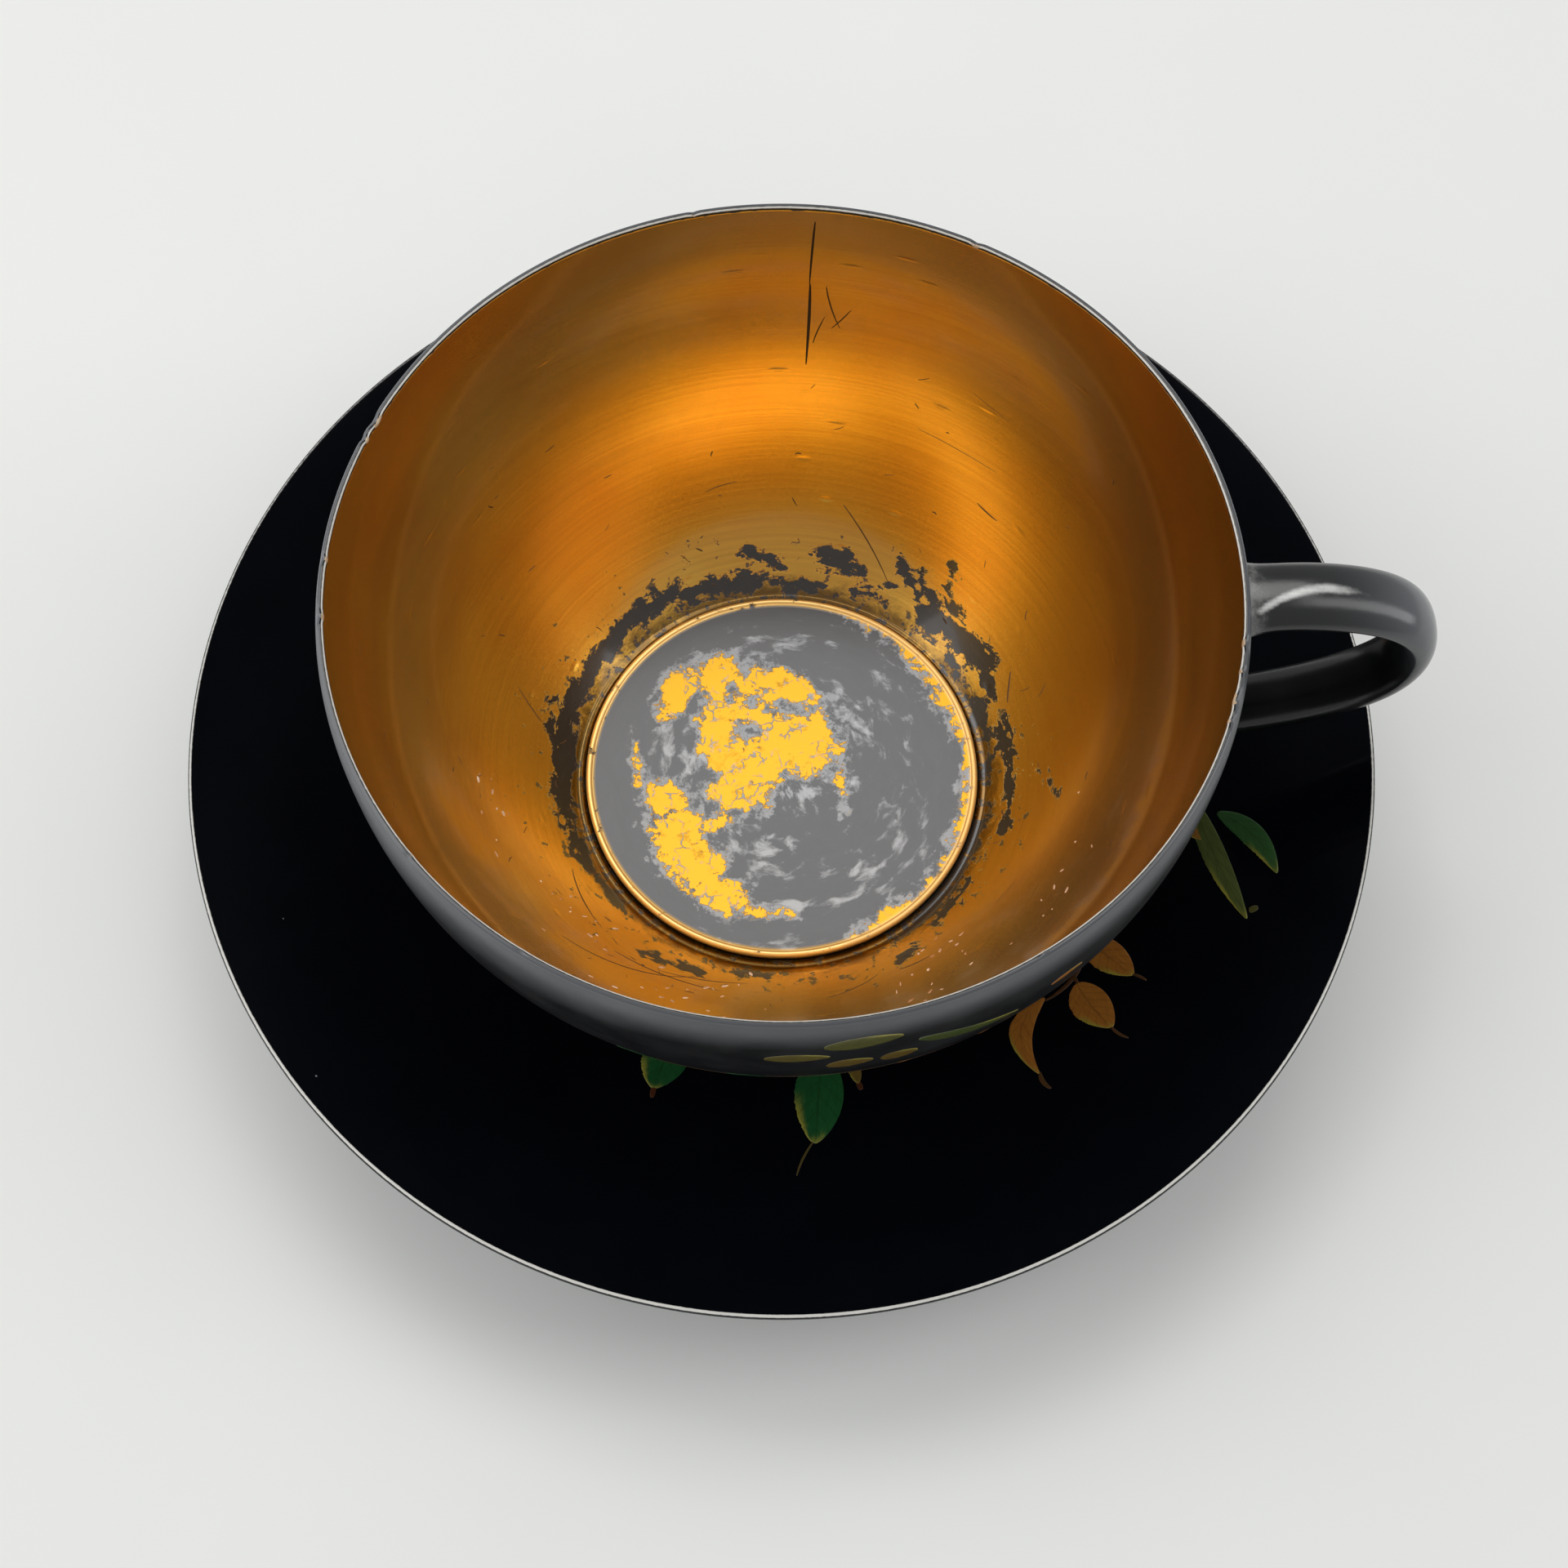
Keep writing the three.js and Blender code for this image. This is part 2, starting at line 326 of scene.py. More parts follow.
# %% [markdown]
# ## Saucer
# The saucer is one turned plate: a level well, a curved brim and a rounded edge. The foot ring is turned
# apart and glued under it. Both get many more rings than the frame's solids, so that reflections in the
# black gloss run without a kink.

# %% Saucer plate
crest_width = 0.3
brim_crowding = 1.1
edge_turn = (-52, 88)
edge_reach = 1.6
even_share = np.linspace(0, 1, BRIM_RINGS) ** brim_crowding
even_rings = well_radius + (brim_end - well_radius) * even_share
crest_rings = brim_end - crest_width * np.array([0.25, 0.5, 0.75, 1.0])
brim_radius = np.sort(np.append(even_rings, crest_rings))
upper = np.column_stack([brim_radius, brim_height(brim_radius)])
thickness = np.interp(brim_radius, [well_radius, brim_end], [well_thickness, saucer_edge])
steepness = np.hypot(1, np.gradient(upper[:, 1], upper[:, 0]))
steepness[0] = 1
lower = np.column_stack([brim_radius, upper[:, 1] - thickness * steepness])
edge = arc((brim_end, saucer_rim - edge_round), edge_round, *edge_turn, EDGE_RINGS)
well_rings = np.linspace(0, well_radius, WELL_RINGS)[:-1]
saucer_profile = np.vstack([
    level(well_rings, plate_low[2]),
    lower,
    edge,
    upper[::-1],
    level(well_rings, well_top)[::-1],
])


def rim_share(points, top, radius, reach):
    """How near a point is to a rim: 1 on it, falling to 0 at a distance of `reach`."""
    away = np.hypot(np.hypot(points[:, 0], points[:, 1]) - radius, points[:, 2] - top)
    return np.clip(1 - away / reach, 0, 1)


def towards_near_side(points):
    """1 on the near side, across from the crack, 0.3 opposite: how much painted crest highlight shows.
    """
    even_part, one_sided = 0.65, 0.35
    return even_part - one_sided * np.sin(azimuth_of(points))


points, quads, triangles = revolve(saucer_profile, AROUND_SAUCER)
# The edge's crest is painted pale: partly a worn edge, partly a painted highlight, strongest on the near
# side.
edge_crest_highlight = rim_share(points, saucer_rim, brim_end + crest_width / 4, crest_width)
saucer_plate = make_piece("saucer_plate_smooth", points, quads, triangles, {
    "rim": rim_share(points, saucer_rim, brim_end, edge_reach),
    "crest_highlight": edge_crest_highlight * towards_near_side(points),
})

# %% Foot rings
def foot_profile(outer, width, bottom, top):
    """A ring's section: two upright sides and a rounded tread to stand on."""
    inner = outer - width
    turned_z = bottom + foot_chamfer
    side = np.linspace(turned_z, top, FOOT_RINGS)
    return np.vstack([
        arc((inner + foot_chamfer, turned_z), foot_chamfer, 180, 270, FOOT_CORNER_RINGS),
        arc((outer - foot_chamfer, turned_z), foot_chamfer, 270, 360, FOOT_CORNER_RINGS),
        np.column_stack([0 * side + outer, side])[1:],
        np.column_stack([0 * side + inner, side[::-1]])[:-1],
    ])


def foot_ring(name, low, high, width):
    """A foot ring that fills its frame node's box. Its tread is worn less than the rims are."""
    tread_wear = 0.6
    profile = foot_profile(high[1], width, low[2], high[2])
    points, quads, triangles = revolve(profile, AROUND_SAUCER)
    rim = rim_share(points, low[2], high[1] - width / 2, width)
    return make_piece(name, points, quads, triangles, {"rim": tread_wear * rim})


saucer_foot = foot_ring(
    "saucer_foot_smooth", saucer_foot_low, saucer_foot_high, foot_width_saucer
)
cup_foot = foot_ring("cup_foot_smooth", cup_foot_low, cup_foot_high, foot_width_cup)

# %% [markdown]
# ## Cup body
# The wooden wall is under a millimetre at the rim. Knocks have chipped the lacquer there in a few
# places, so the rim's points are pressed down and in round some chosen spots: a small bell-shaped dent
# each, deepest at its middle. The dents only take material away.

# %% Cup body
lip_height = 0.35
lip_turn = (12, 172)
lip_bottom = rim_top - rim_lip
lip_shoulder = rim_top - lip_height
inner_rim = rim_radius - rim_wall
lip_round = (outside_radius(lip_shoulder) - inner_rim) / 2
outside = wall_profile(outside_radius, base_z, lip_shoulder, OUTSIDE_RINGS)
wood_face = moved_out(
    wall_profile(inside_radius, lining_low[2], lip_bottom, WOOD_RINGS),
    lining_thickness + glue_line,
)
wood_face[0, 1] = ledge_z
wood_face[-1, 1] = lip_bottom
hole_radius = spigot_radius + glue_line
body_profile = np.vstack([
    [[hole_radius, base_z]],
    outside,
    arc((inner_rim + lip_round, rim_top - lip_round), lip_round, *lip_turn, LIP_RINGS),
    [[inner_rim, rim_top - lip_round], [inner_rim, lip_bottom]],
    wood_face[::-1],
    [[hole_radius, ledge_z]],
])

rim_reach = 1.3
lip_highlight_reach = 0.2
crest_highlight_gain = 1.4
chip_reach = 0.7
chip_shown = 0.2
chip_inwards = 0.5
# A painted reflection: the upper belly is painted grey from these heights up to the rim, lower and
# stronger on the left.
belly_reflection_low, belly_reflection_high = 55.0, 59.5
belly_reflection_spread = 5.5
belly_reflection_least = 0.7

# Azimuth in degrees, width and depth in millimetres.
RIM_CHIPS = [
    (157, 1.6, 0.35), (160, 0.8, 0.3), (178, 0.9, 0.2), (186, 1.1, 0.25), (-8, 1.2, 0.25),
    (-12, 0.7, 0.2), (-16, 1.6, 0.3), (-19, 0.8, 0.2), (103, 0.8, 0.15), (64, 1, 0.2),
    (-58, 0.7, 0.12), (-121, 0.8, 0.12), (221, 0.9, 0.15),
]


def chip_depth(points, chips, radius):
    """The deepest of the chips at each azimuth: depth times a bell curve of the distance."""
    where, width, depth = np.array(chips, float).T
    away = (azimuth_of(points)[:, None] - np.radians(where) + np.pi) % (2 * np.pi) - np.pi
    return (depth * np.exp(-((away * radius / (width / 2)) ** 2))).max(1)


points, quads, triangles = revolve(body_profile, AROUND_CUP)
near_rim = rim_share(points, rim_top, inner_rim + lip_round, rim_reach)
# The lip's crest is painted pale all round: partly a worn edge, partly a painted highlight.
lip_crest_highlight = rim_share(points, rim_top - lip_round / 2, inner_rim + lip_round / 2, lip_highlight_reach)
chipped = chip_depth(points, RIM_CHIPS, rim_radius)
reach_of_chip = rim_share(points, rim_top - lip_round, inner_rim, chip_reach)
outer_side = np.hypot(points[:, 0], points[:, 1]) > inner_rim + lip_round
# The painted reflection band under the rim: most on the left (-x) side, and only on the outside.
towards_left_side = np.clip(-points[:, 0] / belly_radius, 0, 1)
belly_reflection_from = belly_reflection_low - belly_reflection_spread * towards_left_side
belly_reflection_height = np.clip((points[:, 2] - belly_reflection_from) / (belly_reflection_high - belly_reflection_from), 0, 1)
points[:, 2] -= chipped * near_rim
shrink = 1 - chip_inwards * chipped * near_rim / rim_radius
points[:, :2] *= shrink[:, None]
cup_body = make_piece("cup_body_smooth", points, quads, triangles, {
    "rim": near_rim,
    "crest_highlight": np.clip(crest_highlight_gain * lip_crest_highlight, 0, 1),
    "chip": np.clip(chipped / chip_shown, 0, 1) * np.clip(reach_of_chip * 2, 0, 1),
    "painted_belly_reflection": belly_reflection_height * (belly_reflection_least + (1 - belly_reflection_least) * towards_left_side) * outer_side,
})

# %% [markdown]
# ## Gold lining
# The lining is a coat on the inside of the wall, from the groove round the floor to just under the lip.
# Its points store what the finish needs. `worn` says how deep inside a worn patch a point lies, in
# millimetres. `turned` is the point's place on a narrow cylinder, which stretches any pattern round
# the cup, the way that a lathe and a stirring spoon leave their marks.

# %% Gold lining
lining_clear = 0.02
back_step = 6
disc_clear = 0.12
inside = wall_profile(inside_radius, lining_low[2], lip_bottom - lining_clear, LINING_RINGS)
lining_back = moved_out(inside[::back_step], lining_thickness)
lining_back[0, 1] = inside[0, 1]
lining_back[-1, 1] = inside[-1, 1]
groove_start = disc_radius + disc_clear
groove_coat = ledge_z + glue_line / 2
lining_profile = np.vstack([
    [[groove_start, groove_coat], [groove_start, lining_low[2]]],
    [[groove_radius - glue_line, lining_low[2]]],
    inside[1:],
    lining_back[::-1],
    [[groove_radius, groove_coat]],
])

# Worn patches: azimuth and height above the floor of both ends, and thickness.
WORN_PATCHES = [
    (52, 3.5, 42, 4.1, 1.1), (50, 1.8, 30, 2.9, 2.6), (27, 2.3, 20, 2.1, 1.5),
    (61, 4.6, 55, 2.9, 1), (63, 2.3, 60, 2.8, 0.6), (56.5, 5.3, 53, 2.8, 0.5),
    (51, 6.9, 48, 4.6, 0.5), (37, 0.6, 26, 0.4, 0.6), (23.5, 0.8, 12, 0.5, 1),
    (13.5, 2.2, 10, 2.5, 0.9), (17, 0.5, -2.5, 0.3, 1), (13, 1.8, 1, 2.2, 1.2),
    (1, 2.2, -15, 2.2, 1.3), (-1.5, 4.7, -8.6, 6.9, 0.6), (-9, 0.6, -17, 0.1, 0.8),
    (-20, 0, -57, 0.4, 1.2), (-32, 1.1, -46, 1.4, 0.9), (-61, 2.7, -55, 2.4, 1.2),
    (159, 1.9, 175, 1.3, 2.6), (175, 1.3, 190, 1.3, 2.5), (190, 1.3, 205, 1.1, 1.7),
    (205, 1.1, 223, 0.6, 1.3), (165, 3.4, 171, 2.9, 0.8), (185, 2.1, 192, 1.6, 1.3),
    (238, 2.9, 251, 2.4, 0.9), (259, 1.1, 267, 0.8, 0.8), (157, 1.6, 130, 2, 1.9),
    (133, 1.8, 119, 2.1, 1.6), (118, 1.5, 97, 1, 2.1), (97, 1.3, 81, 0.5, 1.3),
    (99, 3.4, 91, 1.9, 0.6), (81, 3.5, 75, 3.5, 1.1), (80, 2.5, 70, 3, 1), (70, 1.2, 61, 1.3, 0.7),
]


def patch_field(azimuth, above, patches):
    """Millimetres inside the nearest patch: half its thickness less the distance to the line
    between its ends, measured on the wall. Negative outside every patch."""
    turn_start, rise_start, turn_end, rise_end, thick = np.array(patches, float).T
    middle = (turn_start + turn_end) / 2
    around = (azimuth[:, None] - middle + 180) % 360 - 180
    x, y = around * mm_per_degree, above[:, None] * slant_of_wall
    reach_x = (turn_end - turn_start) / 2 * mm_per_degree
    reach_y = (rise_end - rise_start) / 2 * slant_of_wall
    y = y - (rise_start + rise_end) / 2 * slant_of_wall
    share = np.clip((x * reach_x + y * reach_y) / (reach_x**2 + reach_y**2), -1, 1)
    return (thick / 2 - np.hypot(x - share * reach_x, y - share * reach_y)).max(1)


patch_middle = 2.0
mm_per_degree = math.radians(1) * (groove_radius + patch_middle)
slant_of_wall = 1.5
patch_reach = 4.0
lip_reach = 0.8
points, quads, triangles = revolve(lining_profile, AROUND_LINING)
azimuth = azimuth_of(points)
above_floor = points[:, 2] - lining_low[2]
cylinder_radius = 9.0
lining = make_piece("gold_lining_smooth", points, quads, triangles, {
    "worn": np.clip(
        patch_field(np.degrees(azimuth), above_floor, WORN_PATCHES), -patch_reach, patch_reach
    ),
    "above": above_floor,
    "lip": np.clip(1 - (lip_bottom - points[:, 2]) / lip_reach, 0, 1),
    "turned": on_cylinder(cylinder_radius, azimuth, above_floor),
})

# %% [markdown]
# ## Floor disc
# The floor is a separate disc let into the bottom, with a small bead turned on its edge. Its gold has
# flaked off and left islands. An island is the sum of a few overlapping ovals, and holes are ovals
# taken away again. The field that results is stored on the points, positive where gold is left, and the
# finish adds a fine ragged edge to it. Places are shares of the disc's radius.

# %% Floor disc
bead = 0.42
face_drop = 0.22
bead_start = 0.955
bead_edge = 90
face_z = disc_high[2] - face_drop
face_rings = np.linspace(0, disc_radius - 2 * bead, FACE_RINGS)
spigot = [[0, base_z], [spigot_radius, base_z], [spigot_radius, ledge_z + glue_line]]
bead_arc = arc((disc_radius - bead, disc_high[2] - bead), bead, 0, 150, BEAD_RINGS)
disc_profile = np.vstack([
    spigot,
    [[disc_radius, ledge_z + glue_line]],
    bead_arc,
    level(face_rings, face_z)[::-1],
])
disc_profile[len(spigot):, 0] = np.minimum(disc_profile[len(spigot):, 0], disc_radius)

# Each oval: centre x and y, half-width, half-height, turn in degrees.
GOLD_ISLANDS = [
    (-0.17, 0.20, 0.27, 0.30, 0), (0.08, 0.17, 0.20, 0.20, 0), (-0.02, 0.49, 0.22, 0.10, -20),
    (-0.33, 0.52, 0.11, 0.14, 0), (-0.55, 0.44, 0.08, 0.17, -25), (-0.20, -0.12, 0.15, 0.11, 0),
    (-0.40, 0.20, 0.06, 0.14, 0), (0.30, -0.04, 0.03, 0.12, 5), (0.27, 0.13, 0.06, 0.05, 0),
    (-0.58, -0.17, 0.11, 0.11, 0), (-0.53, -0.34, 0.14, 0.13, 0), (-0.44, -0.50, 0.17, 0.13, -35),
    (-0.31, -0.66, 0.15, 0.09, -25), (-0.33, -0.30, 0.08, 0.05, 20), (-0.08, -0.77, 0.11, 0.03, 0),
    (-0.74, 0.02, 0.02, 0.11, 5),
]
GOLD_HOLES = [
    (-0.18, 0.22, 0.05, 0.05, 0), (0.02, 0.35, 0.10, 0.045, -10), (-0.15, 0.41, 0.05, 0.03, 30),
    (-0.27, 0.44, 0.04, 0.05, 0), (-0.47, 0.22, 0.05, 0.09, 20),
]
HAZE = [
    (0.36, 0.27, 0.08, 0.17, 25), (0.50, 0.42, 0.03, 0.05, 0), (0.57, -0.24, 0.05, 0.14, -15),
    (0.68, -0.08, 0.03, 0.16, 5), (0.16, -0.10, 0.20, 0.06, 15), (-0.10, -0.42, 0.20, 0.10, -35),
    (-0.03, 0.74, 0.13, 0.04, 5), (0.08, -0.74, 0.24, 0.03, 14), (0.05, -0.93, 0.25, 0.025, 4),
    (0.44, -0.54, 0.06, 0.02, 10), (-0.36, 0.06, 0.16, 0.18, 0), (-0.60, 0.12, 0.05, 0.25, -5),
]


# Where the gold along the edge is wider: azimuth, reach in degrees, and by how much.
EDGE_WIDER = [(28, 16, 0.035), (-60, 9, 0.045)]


def oval_field(x, y, ovals):
    """The largest, over all ovals, of one minus the distance from its centre in half-widths."""
    centre_x, centre_y, half_x, half_y, degrees = np.array(ovals, float).T
    turn = np.radians(degrees)
    dx, dy = x[:, None] - centre_x, y[:, None] - centre_y
    along = (dx * np.cos(turn) + dy * np.sin(turn)) / half_x
    across = (dy * np.cos(turn) - dx * np.sin(turn)) / half_y
    return ((1 - np.hypot(along, across)) * np.sqrt(half_x * half_y)).max(1)


def edge_gold(x, y):
    """Gold left along the edge on the handle's side: a band whose width changes with azimuth."""
    width, half_turn, fade, outer_edge, cut_off = 0.022, 68, 12, 0.965, 5
    degrees = np.degrees(np.arctan2(y, x))
    for middle, reach, wider in EDGE_WIDER:
        width = width + wider * np.exp(-(((degrees - middle) / reach) ** 2))
    ends = np.clip((half_turn - np.abs(degrees)) / fade, -1, 1)
    return np.hypot(x, y) - outer_edge + width * np.where(ends > 0, ends, cut_off * ends)


points, quads, triangles = revolve(disc_profile, AROUND_DISC)
x, y = points[:, 0] / disc_radius, points[:, 1] / disc_radius
islands = np.minimum(oval_field(x, y, GOLD_ISLANDS), -oval_field(x, y, GOLD_HOLES))
side_low = 0.3
on_face = points[:, 2] > ledge_z + side_low
wipe_radius = 7.5
floor_disc = make_piece("floor_disc_smooth", points, quads, triangles, {
    "gold": np.where(on_face, np.maximum(islands, edge_gold(x, y)), -1),
    "haze": oval_field(x, y, HAZE),
    "bead": np.clip((np.hypot(x, y) - bead_start) * bead_edge, 0, 1),
    "wiped": on_cylinder(wipe_radius, np.arctan2(y, x), np.hypot(x, y) * disc_radius),
})

# %% [markdown]
# ## Handle
# The handle was steamed and bent from one stick. Its centreline is two cubic curves that meet at the
# point furthest from the cup, and its section is an oval, flatter on the side that the finger meets.
# Each of the lines along it is followed from both ends until it meets the wall, by halving a step until
# the crossing is found, so both ends are scribed to the round of the cup exactly.

# %% Handle
upper_drop = 3.9
lower_drop = 32.5
furthest_drop = 12.0
upper_width = 7.8
lower_width = 7.0
outer_crown = 2.2
inner_crown = 1.9
buried = 2.5
sunk_in_wall = 0.25
squareness = 0.9
gathered, gathered_reach = 0.1, 1.1

furthest = np.array([handle_high[0] - outer_crown, rim_top - furthest_drop])
upper_z, lower_z = rim_top - upper_drop, rim_top - lower_drop
upper_end = np.array([outside_radius(upper_z) - buried, upper_z])
lower_end = np.array([outside_radius(lower_z) - buried, lower_z])


def cubic(p0, p1, p2, p3, share):
    """A cubic curve: the four points weighted by the terms of ((1 - t) + t) cubed."""
    t = share[:, None]
    return (1 - t) ** 3 * p0 + 3 * (1 - t) ** 2 * t * p1 + 3 * (1 - t) * t**2 * p2 + t**3 * p3


curve_points, section_sides, handle_rings, halvings = 300, 72, 220, 30
leaves_upper, at_furthest, leaves_lower = [9, 3.2], [0, 10], [17.5, 5.5]
fine = np.linspace(0, 1, curve_points)
centreline = np.vstack([
    cubic(upper_end, upper_end + leaves_upper, furthest + at_furthest, furthest, fine),
    cubic(furthest, furthest - at_furthest, lower_end + leaves_lower, lower_end, fine)[1:],
])
step = np.hypot(*np.diff(centreline, axis=0).T)
length_along = np.concatenate([[0], np.cumsum(step)])
handle_length = length_along[-1]
direction = np.gradient(centreline, length_along, axis=0)
direction /= np.hypot(*direction.T)[:, None]


def handle_point(distance, turn):
    """The handle's surface at a distance along it and a turn round its section: the centreline,
    plus the crown times the sine along the in-plane normal, plus half the width times the
    cosine across. Both swell a little where the lacquer gathers at the wall."""
    at = [np.interp(distance, length_along, centreline[:, i]) for i in (0, 1)]
    toward = [np.interp(distance, length_along, direction[:, i]) for i in (0, 1)]
    crown = np.where(np.sin(turn) > 0, inner_crown, outer_crown)
    from_end = np.minimum(distance, handle_length - distance) - buried
    swell = 1 + gathered * np.exp(-np.clip(from_end, 0, None) / gathered_reach)
    width = np.interp(at[1], [lower_z, upper_z], [lower_width, upper_width]) / 2
    out = crown * np.sin(turn) * np.where(crown == inner_crown, 1, swell)
    rounded = np.sign(np.cos(turn)) * np.abs(np.cos(turn)) ** squareness
    x = at[0] + toward[1] * out
    z = at[1] - toward[0] * out
    return np.stack([x, width * swell * rounded, z], -1)


def scribe(turn, inside_at, outside_at):
    """Halves the stretch between a distance inside the wall and one outside it until they meet."""
    for _ in range(halvings):
        middle = (inside_at + outside_at) / 2
        point = handle_point(middle, turn)
        wall = outside_radius(point[..., 2]) - sunk_in_wall
        buried_here = np.hypot(point[..., 0], point[..., 1]) < wall
        inside_at = np.where(buried_here, middle, inside_at)
        outside_at = np.where(buried_here, outside_at, middle)
    return outside_at


section_turn = np.arange(section_sides) * 2 * np.pi / section_sides
half = 0 * section_turn + handle_length / 2
start = scribe(section_turn, 0 * half, half)
end = scribe(section_turn, half * 2, half)
share = np.linspace(0, 1, handle_rings)[:, None]
distance = start + (end - start) * share
turns = section_turn + 0 * distance
handle_grid = handle_point(distance, turns).reshape(-1, 3)
caps = np.stack([handle_grid[:section_sides].mean(0), handle_grid[-section_sides:].mean(0)])
from_upper = np.append(distance.ravel() - buried, [0, handle_length])
section = np.append(turns.ravel(), [0, 0])

# A painted highlight along the top of the handle: where it runs across the width, and how strong it is.
TOP_HIGHLIGHT_AT = [
    (1, -0.58), (3, -0.3), (5, -0.12), (7.5, -0.02), (10.5, -0.07), (14, -0.25),
]
TOP_HIGHLIGHT_STRENGTH = [
    (0.4, 0.3), (1.5, 1), (8, 1), (11, 0.35), (14, 0),
]
top_highlight_width = 0.13
top_highlight_at = np.interp(from_upper, *np.array(TOP_HIGHLIGHT_AT).T)
top_highlight = np.exp(-(((np.cos(section) - top_highlight_at) / top_highlight_width) ** 2)) * (np.sin(section) < 0)
top_highlight = top_highlight * np.interp(from_upper, *np.array(TOP_HIGHLIGHT_STRENGTH).T)
# A painted reflection: the handle's furthest bend is painted grey, most on its outer side.
bend_reflection_middle, bend_reflection_reach = 19.0, 6.5
rubbed_reach = 2.2
painted_bend_reflection = np.exp(-(((from_upper - bend_reflection_middle) / bend_reflection_reach) ** 2)) * (0.6 - 0.4 * np.sin(section))
handle = make_piece(
    "handle_smooth",
    np.vstack([handle_grid, caps]),
    quads_between(handle_rings, section_sides, wrap_rows=False),
    end_fans(len(handle_grid), section_sides),
    {
        "rubbed": np.exp(-np.clip(from_upper, 0, None) / rubbed_reach),
        "top_highlight": top_highlight,
        "painted_bend_reflection": painted_bend_reflection,
    },
)

# %% [markdown]
# ## Paint and scratches
# A painted leaf and a scratch have the same shape: a stroke that starts at a point, swells and ends at
# a point, lying on a curved surface. Each stroke is a very thin closed lens. Its rim lies just under
# the lacquer and its middle stands a few hundredths of a millimetre proud, so paint has a real edge
# that catches the light. All the strokes of one kind are worked out together, as one array.

# %% Strokes on a surface
nudge = 0.01
sunk = 0.03
hollow = 0.02
unevenness = 0.02


def slope_of(curve, at):
    """A curve's slope at a place, and how long a step along it is when the step across is 1."""
    slope = (curve(at + nudge) - curve(at - nudge)) / (2 * nudge)
    return slope, np.sqrt(1 + slope**2)


def on_brim(radius, azimuth, lift):
    """A point over the saucer's brim: at a radius and azimuth, `lift` along the normal."""
    slope, steep = slope_of(brim_height, radius)
    out = radius - lift * slope / steep
    height = brim_height(radius) + lift / steep
    return np.stack([out * np.cos(azimuth), out * np.sin(azimuth), height], -1)


def over_wall(radius_at, side):
    """Points over the cup's wall, by height and azimuth; side is 1 outside it and -1 inside."""
    def place(height, azimuth, lift):
        slope, steep = slope_of(radius_at, height)
        out = radius_at(height) + side * lift / steep
        z = height - side * lift * slope / steep
        return np.stack([out * np.cos(azimuth), out * np.sin(azimuth), z], -1)
    return place


on_belly = over_wall(outside_radius, 1)
on_lining = over_wall(inside_radius, -1)


def strokes(name, surface, rows, across_scale, lift, steps, sides, fullness, seed):
    """Strokes from a start to an end, each row being (start azimuth, start place, end azimuth,
    end place, width, bend, tone). Place is a radius or a height in millimetres. The half-width is
    width / 2 times sin(pi s) to a power, and the middle line bows sideways by bend 4 s (1 - s)."""
    start_turn, start_at, end_turn, end_at, width, bend, tone = np.array(rows, float).T
    scatter = np.random.default_rng(seed)
    begin = np.stack([np.radians(start_turn) * across_scale, start_at], -1)
    along = np.stack([np.radians(end_turn) * across_scale, end_at], -1) - begin
    long = np.hypot(along[:, 0], along[:, 1])[:, None]
    sideways = np.stack([-along[:, 1], along[:, 0]], -1) / long
    s = np.linspace(0, 1, steps + 2)[1:-1]
    ring = np.arange(sides) * 2 * np.pi / sides
    waver = scatter.normal(0, unevenness, (len(width), steps, 1)) * np.ones((1, 1, sides))
    waver *= np.sign(np.cos(ring)) * 0.5 + 0.5
    half = width[:, None, None] / 2 * (np.sin(np.pi * s**0.85) ** fullness)[:, None]
    offset = half * (np.cos(ring) + waver) + (bend[:, None] * 4 * s * (1 - s))[:, :, None]
    flat = (begin[:, None, None] + along[:, None, None] * s[:, None, None]
            + sideways[:, None, None] * offset[..., None])
    raised = np.where(np.sin(ring) > 0, (lift + sunk) * np.sin(ring) ** 0.5, 0.0)
    raised = raised - sunk - hollow * np.clip(-np.sin(ring), 0, 1)
    height = raised + 0 * offset
    body = surface(flat[..., 1], flat[..., 0] / across_scale, height)
    tips = np.stack([begin, begin + along], 1)
    tip_points = surface(tips[..., 1], tips[..., 0] / across_scale, -sunk + 0 * tips[..., 0])
    each = steps * sides
    stroke_points = np.concatenate([body.reshape(len(width), each, 3), tip_points], 1)
    quad = quads_between(steps, sides, wrap_rows=False)
    triangle = end_fans(each, sides)
    shift = (np.arange(len(width)) * (each + 2))[:, None, None]
    lengthways = np.append(np.repeat(s, sides), [0, 1]) + 0 * tone[:, None]
    crossways = np.append(np.tile(np.cos(ring), steps), [0, 0]) + 0 * tone[:, None]
    toned = tone[:, None] + 0 * lengthways
    return make_piece(
        name,
        stroke_points.reshape(-1, 3),
        (quad + shift).reshape(-1, 4),
        (triangle + shift).reshape(-1, 3),
        {"along": lengthways.ravel(), "across": crossways.ravel(), "tone": toned.ravel()},
    )


# %% [markdown]
# ## Leaves
# The painter put a trailing sprig on the brim and another on the belly of the cup. Tone runs from 0,
# a green leaf, to 1, an autumn one. Azimuths are in degrees from the handle, places on the brim are
# radii and places on the belly are heights. The part of the sprig that the cup hides goes on in the
# same manner.

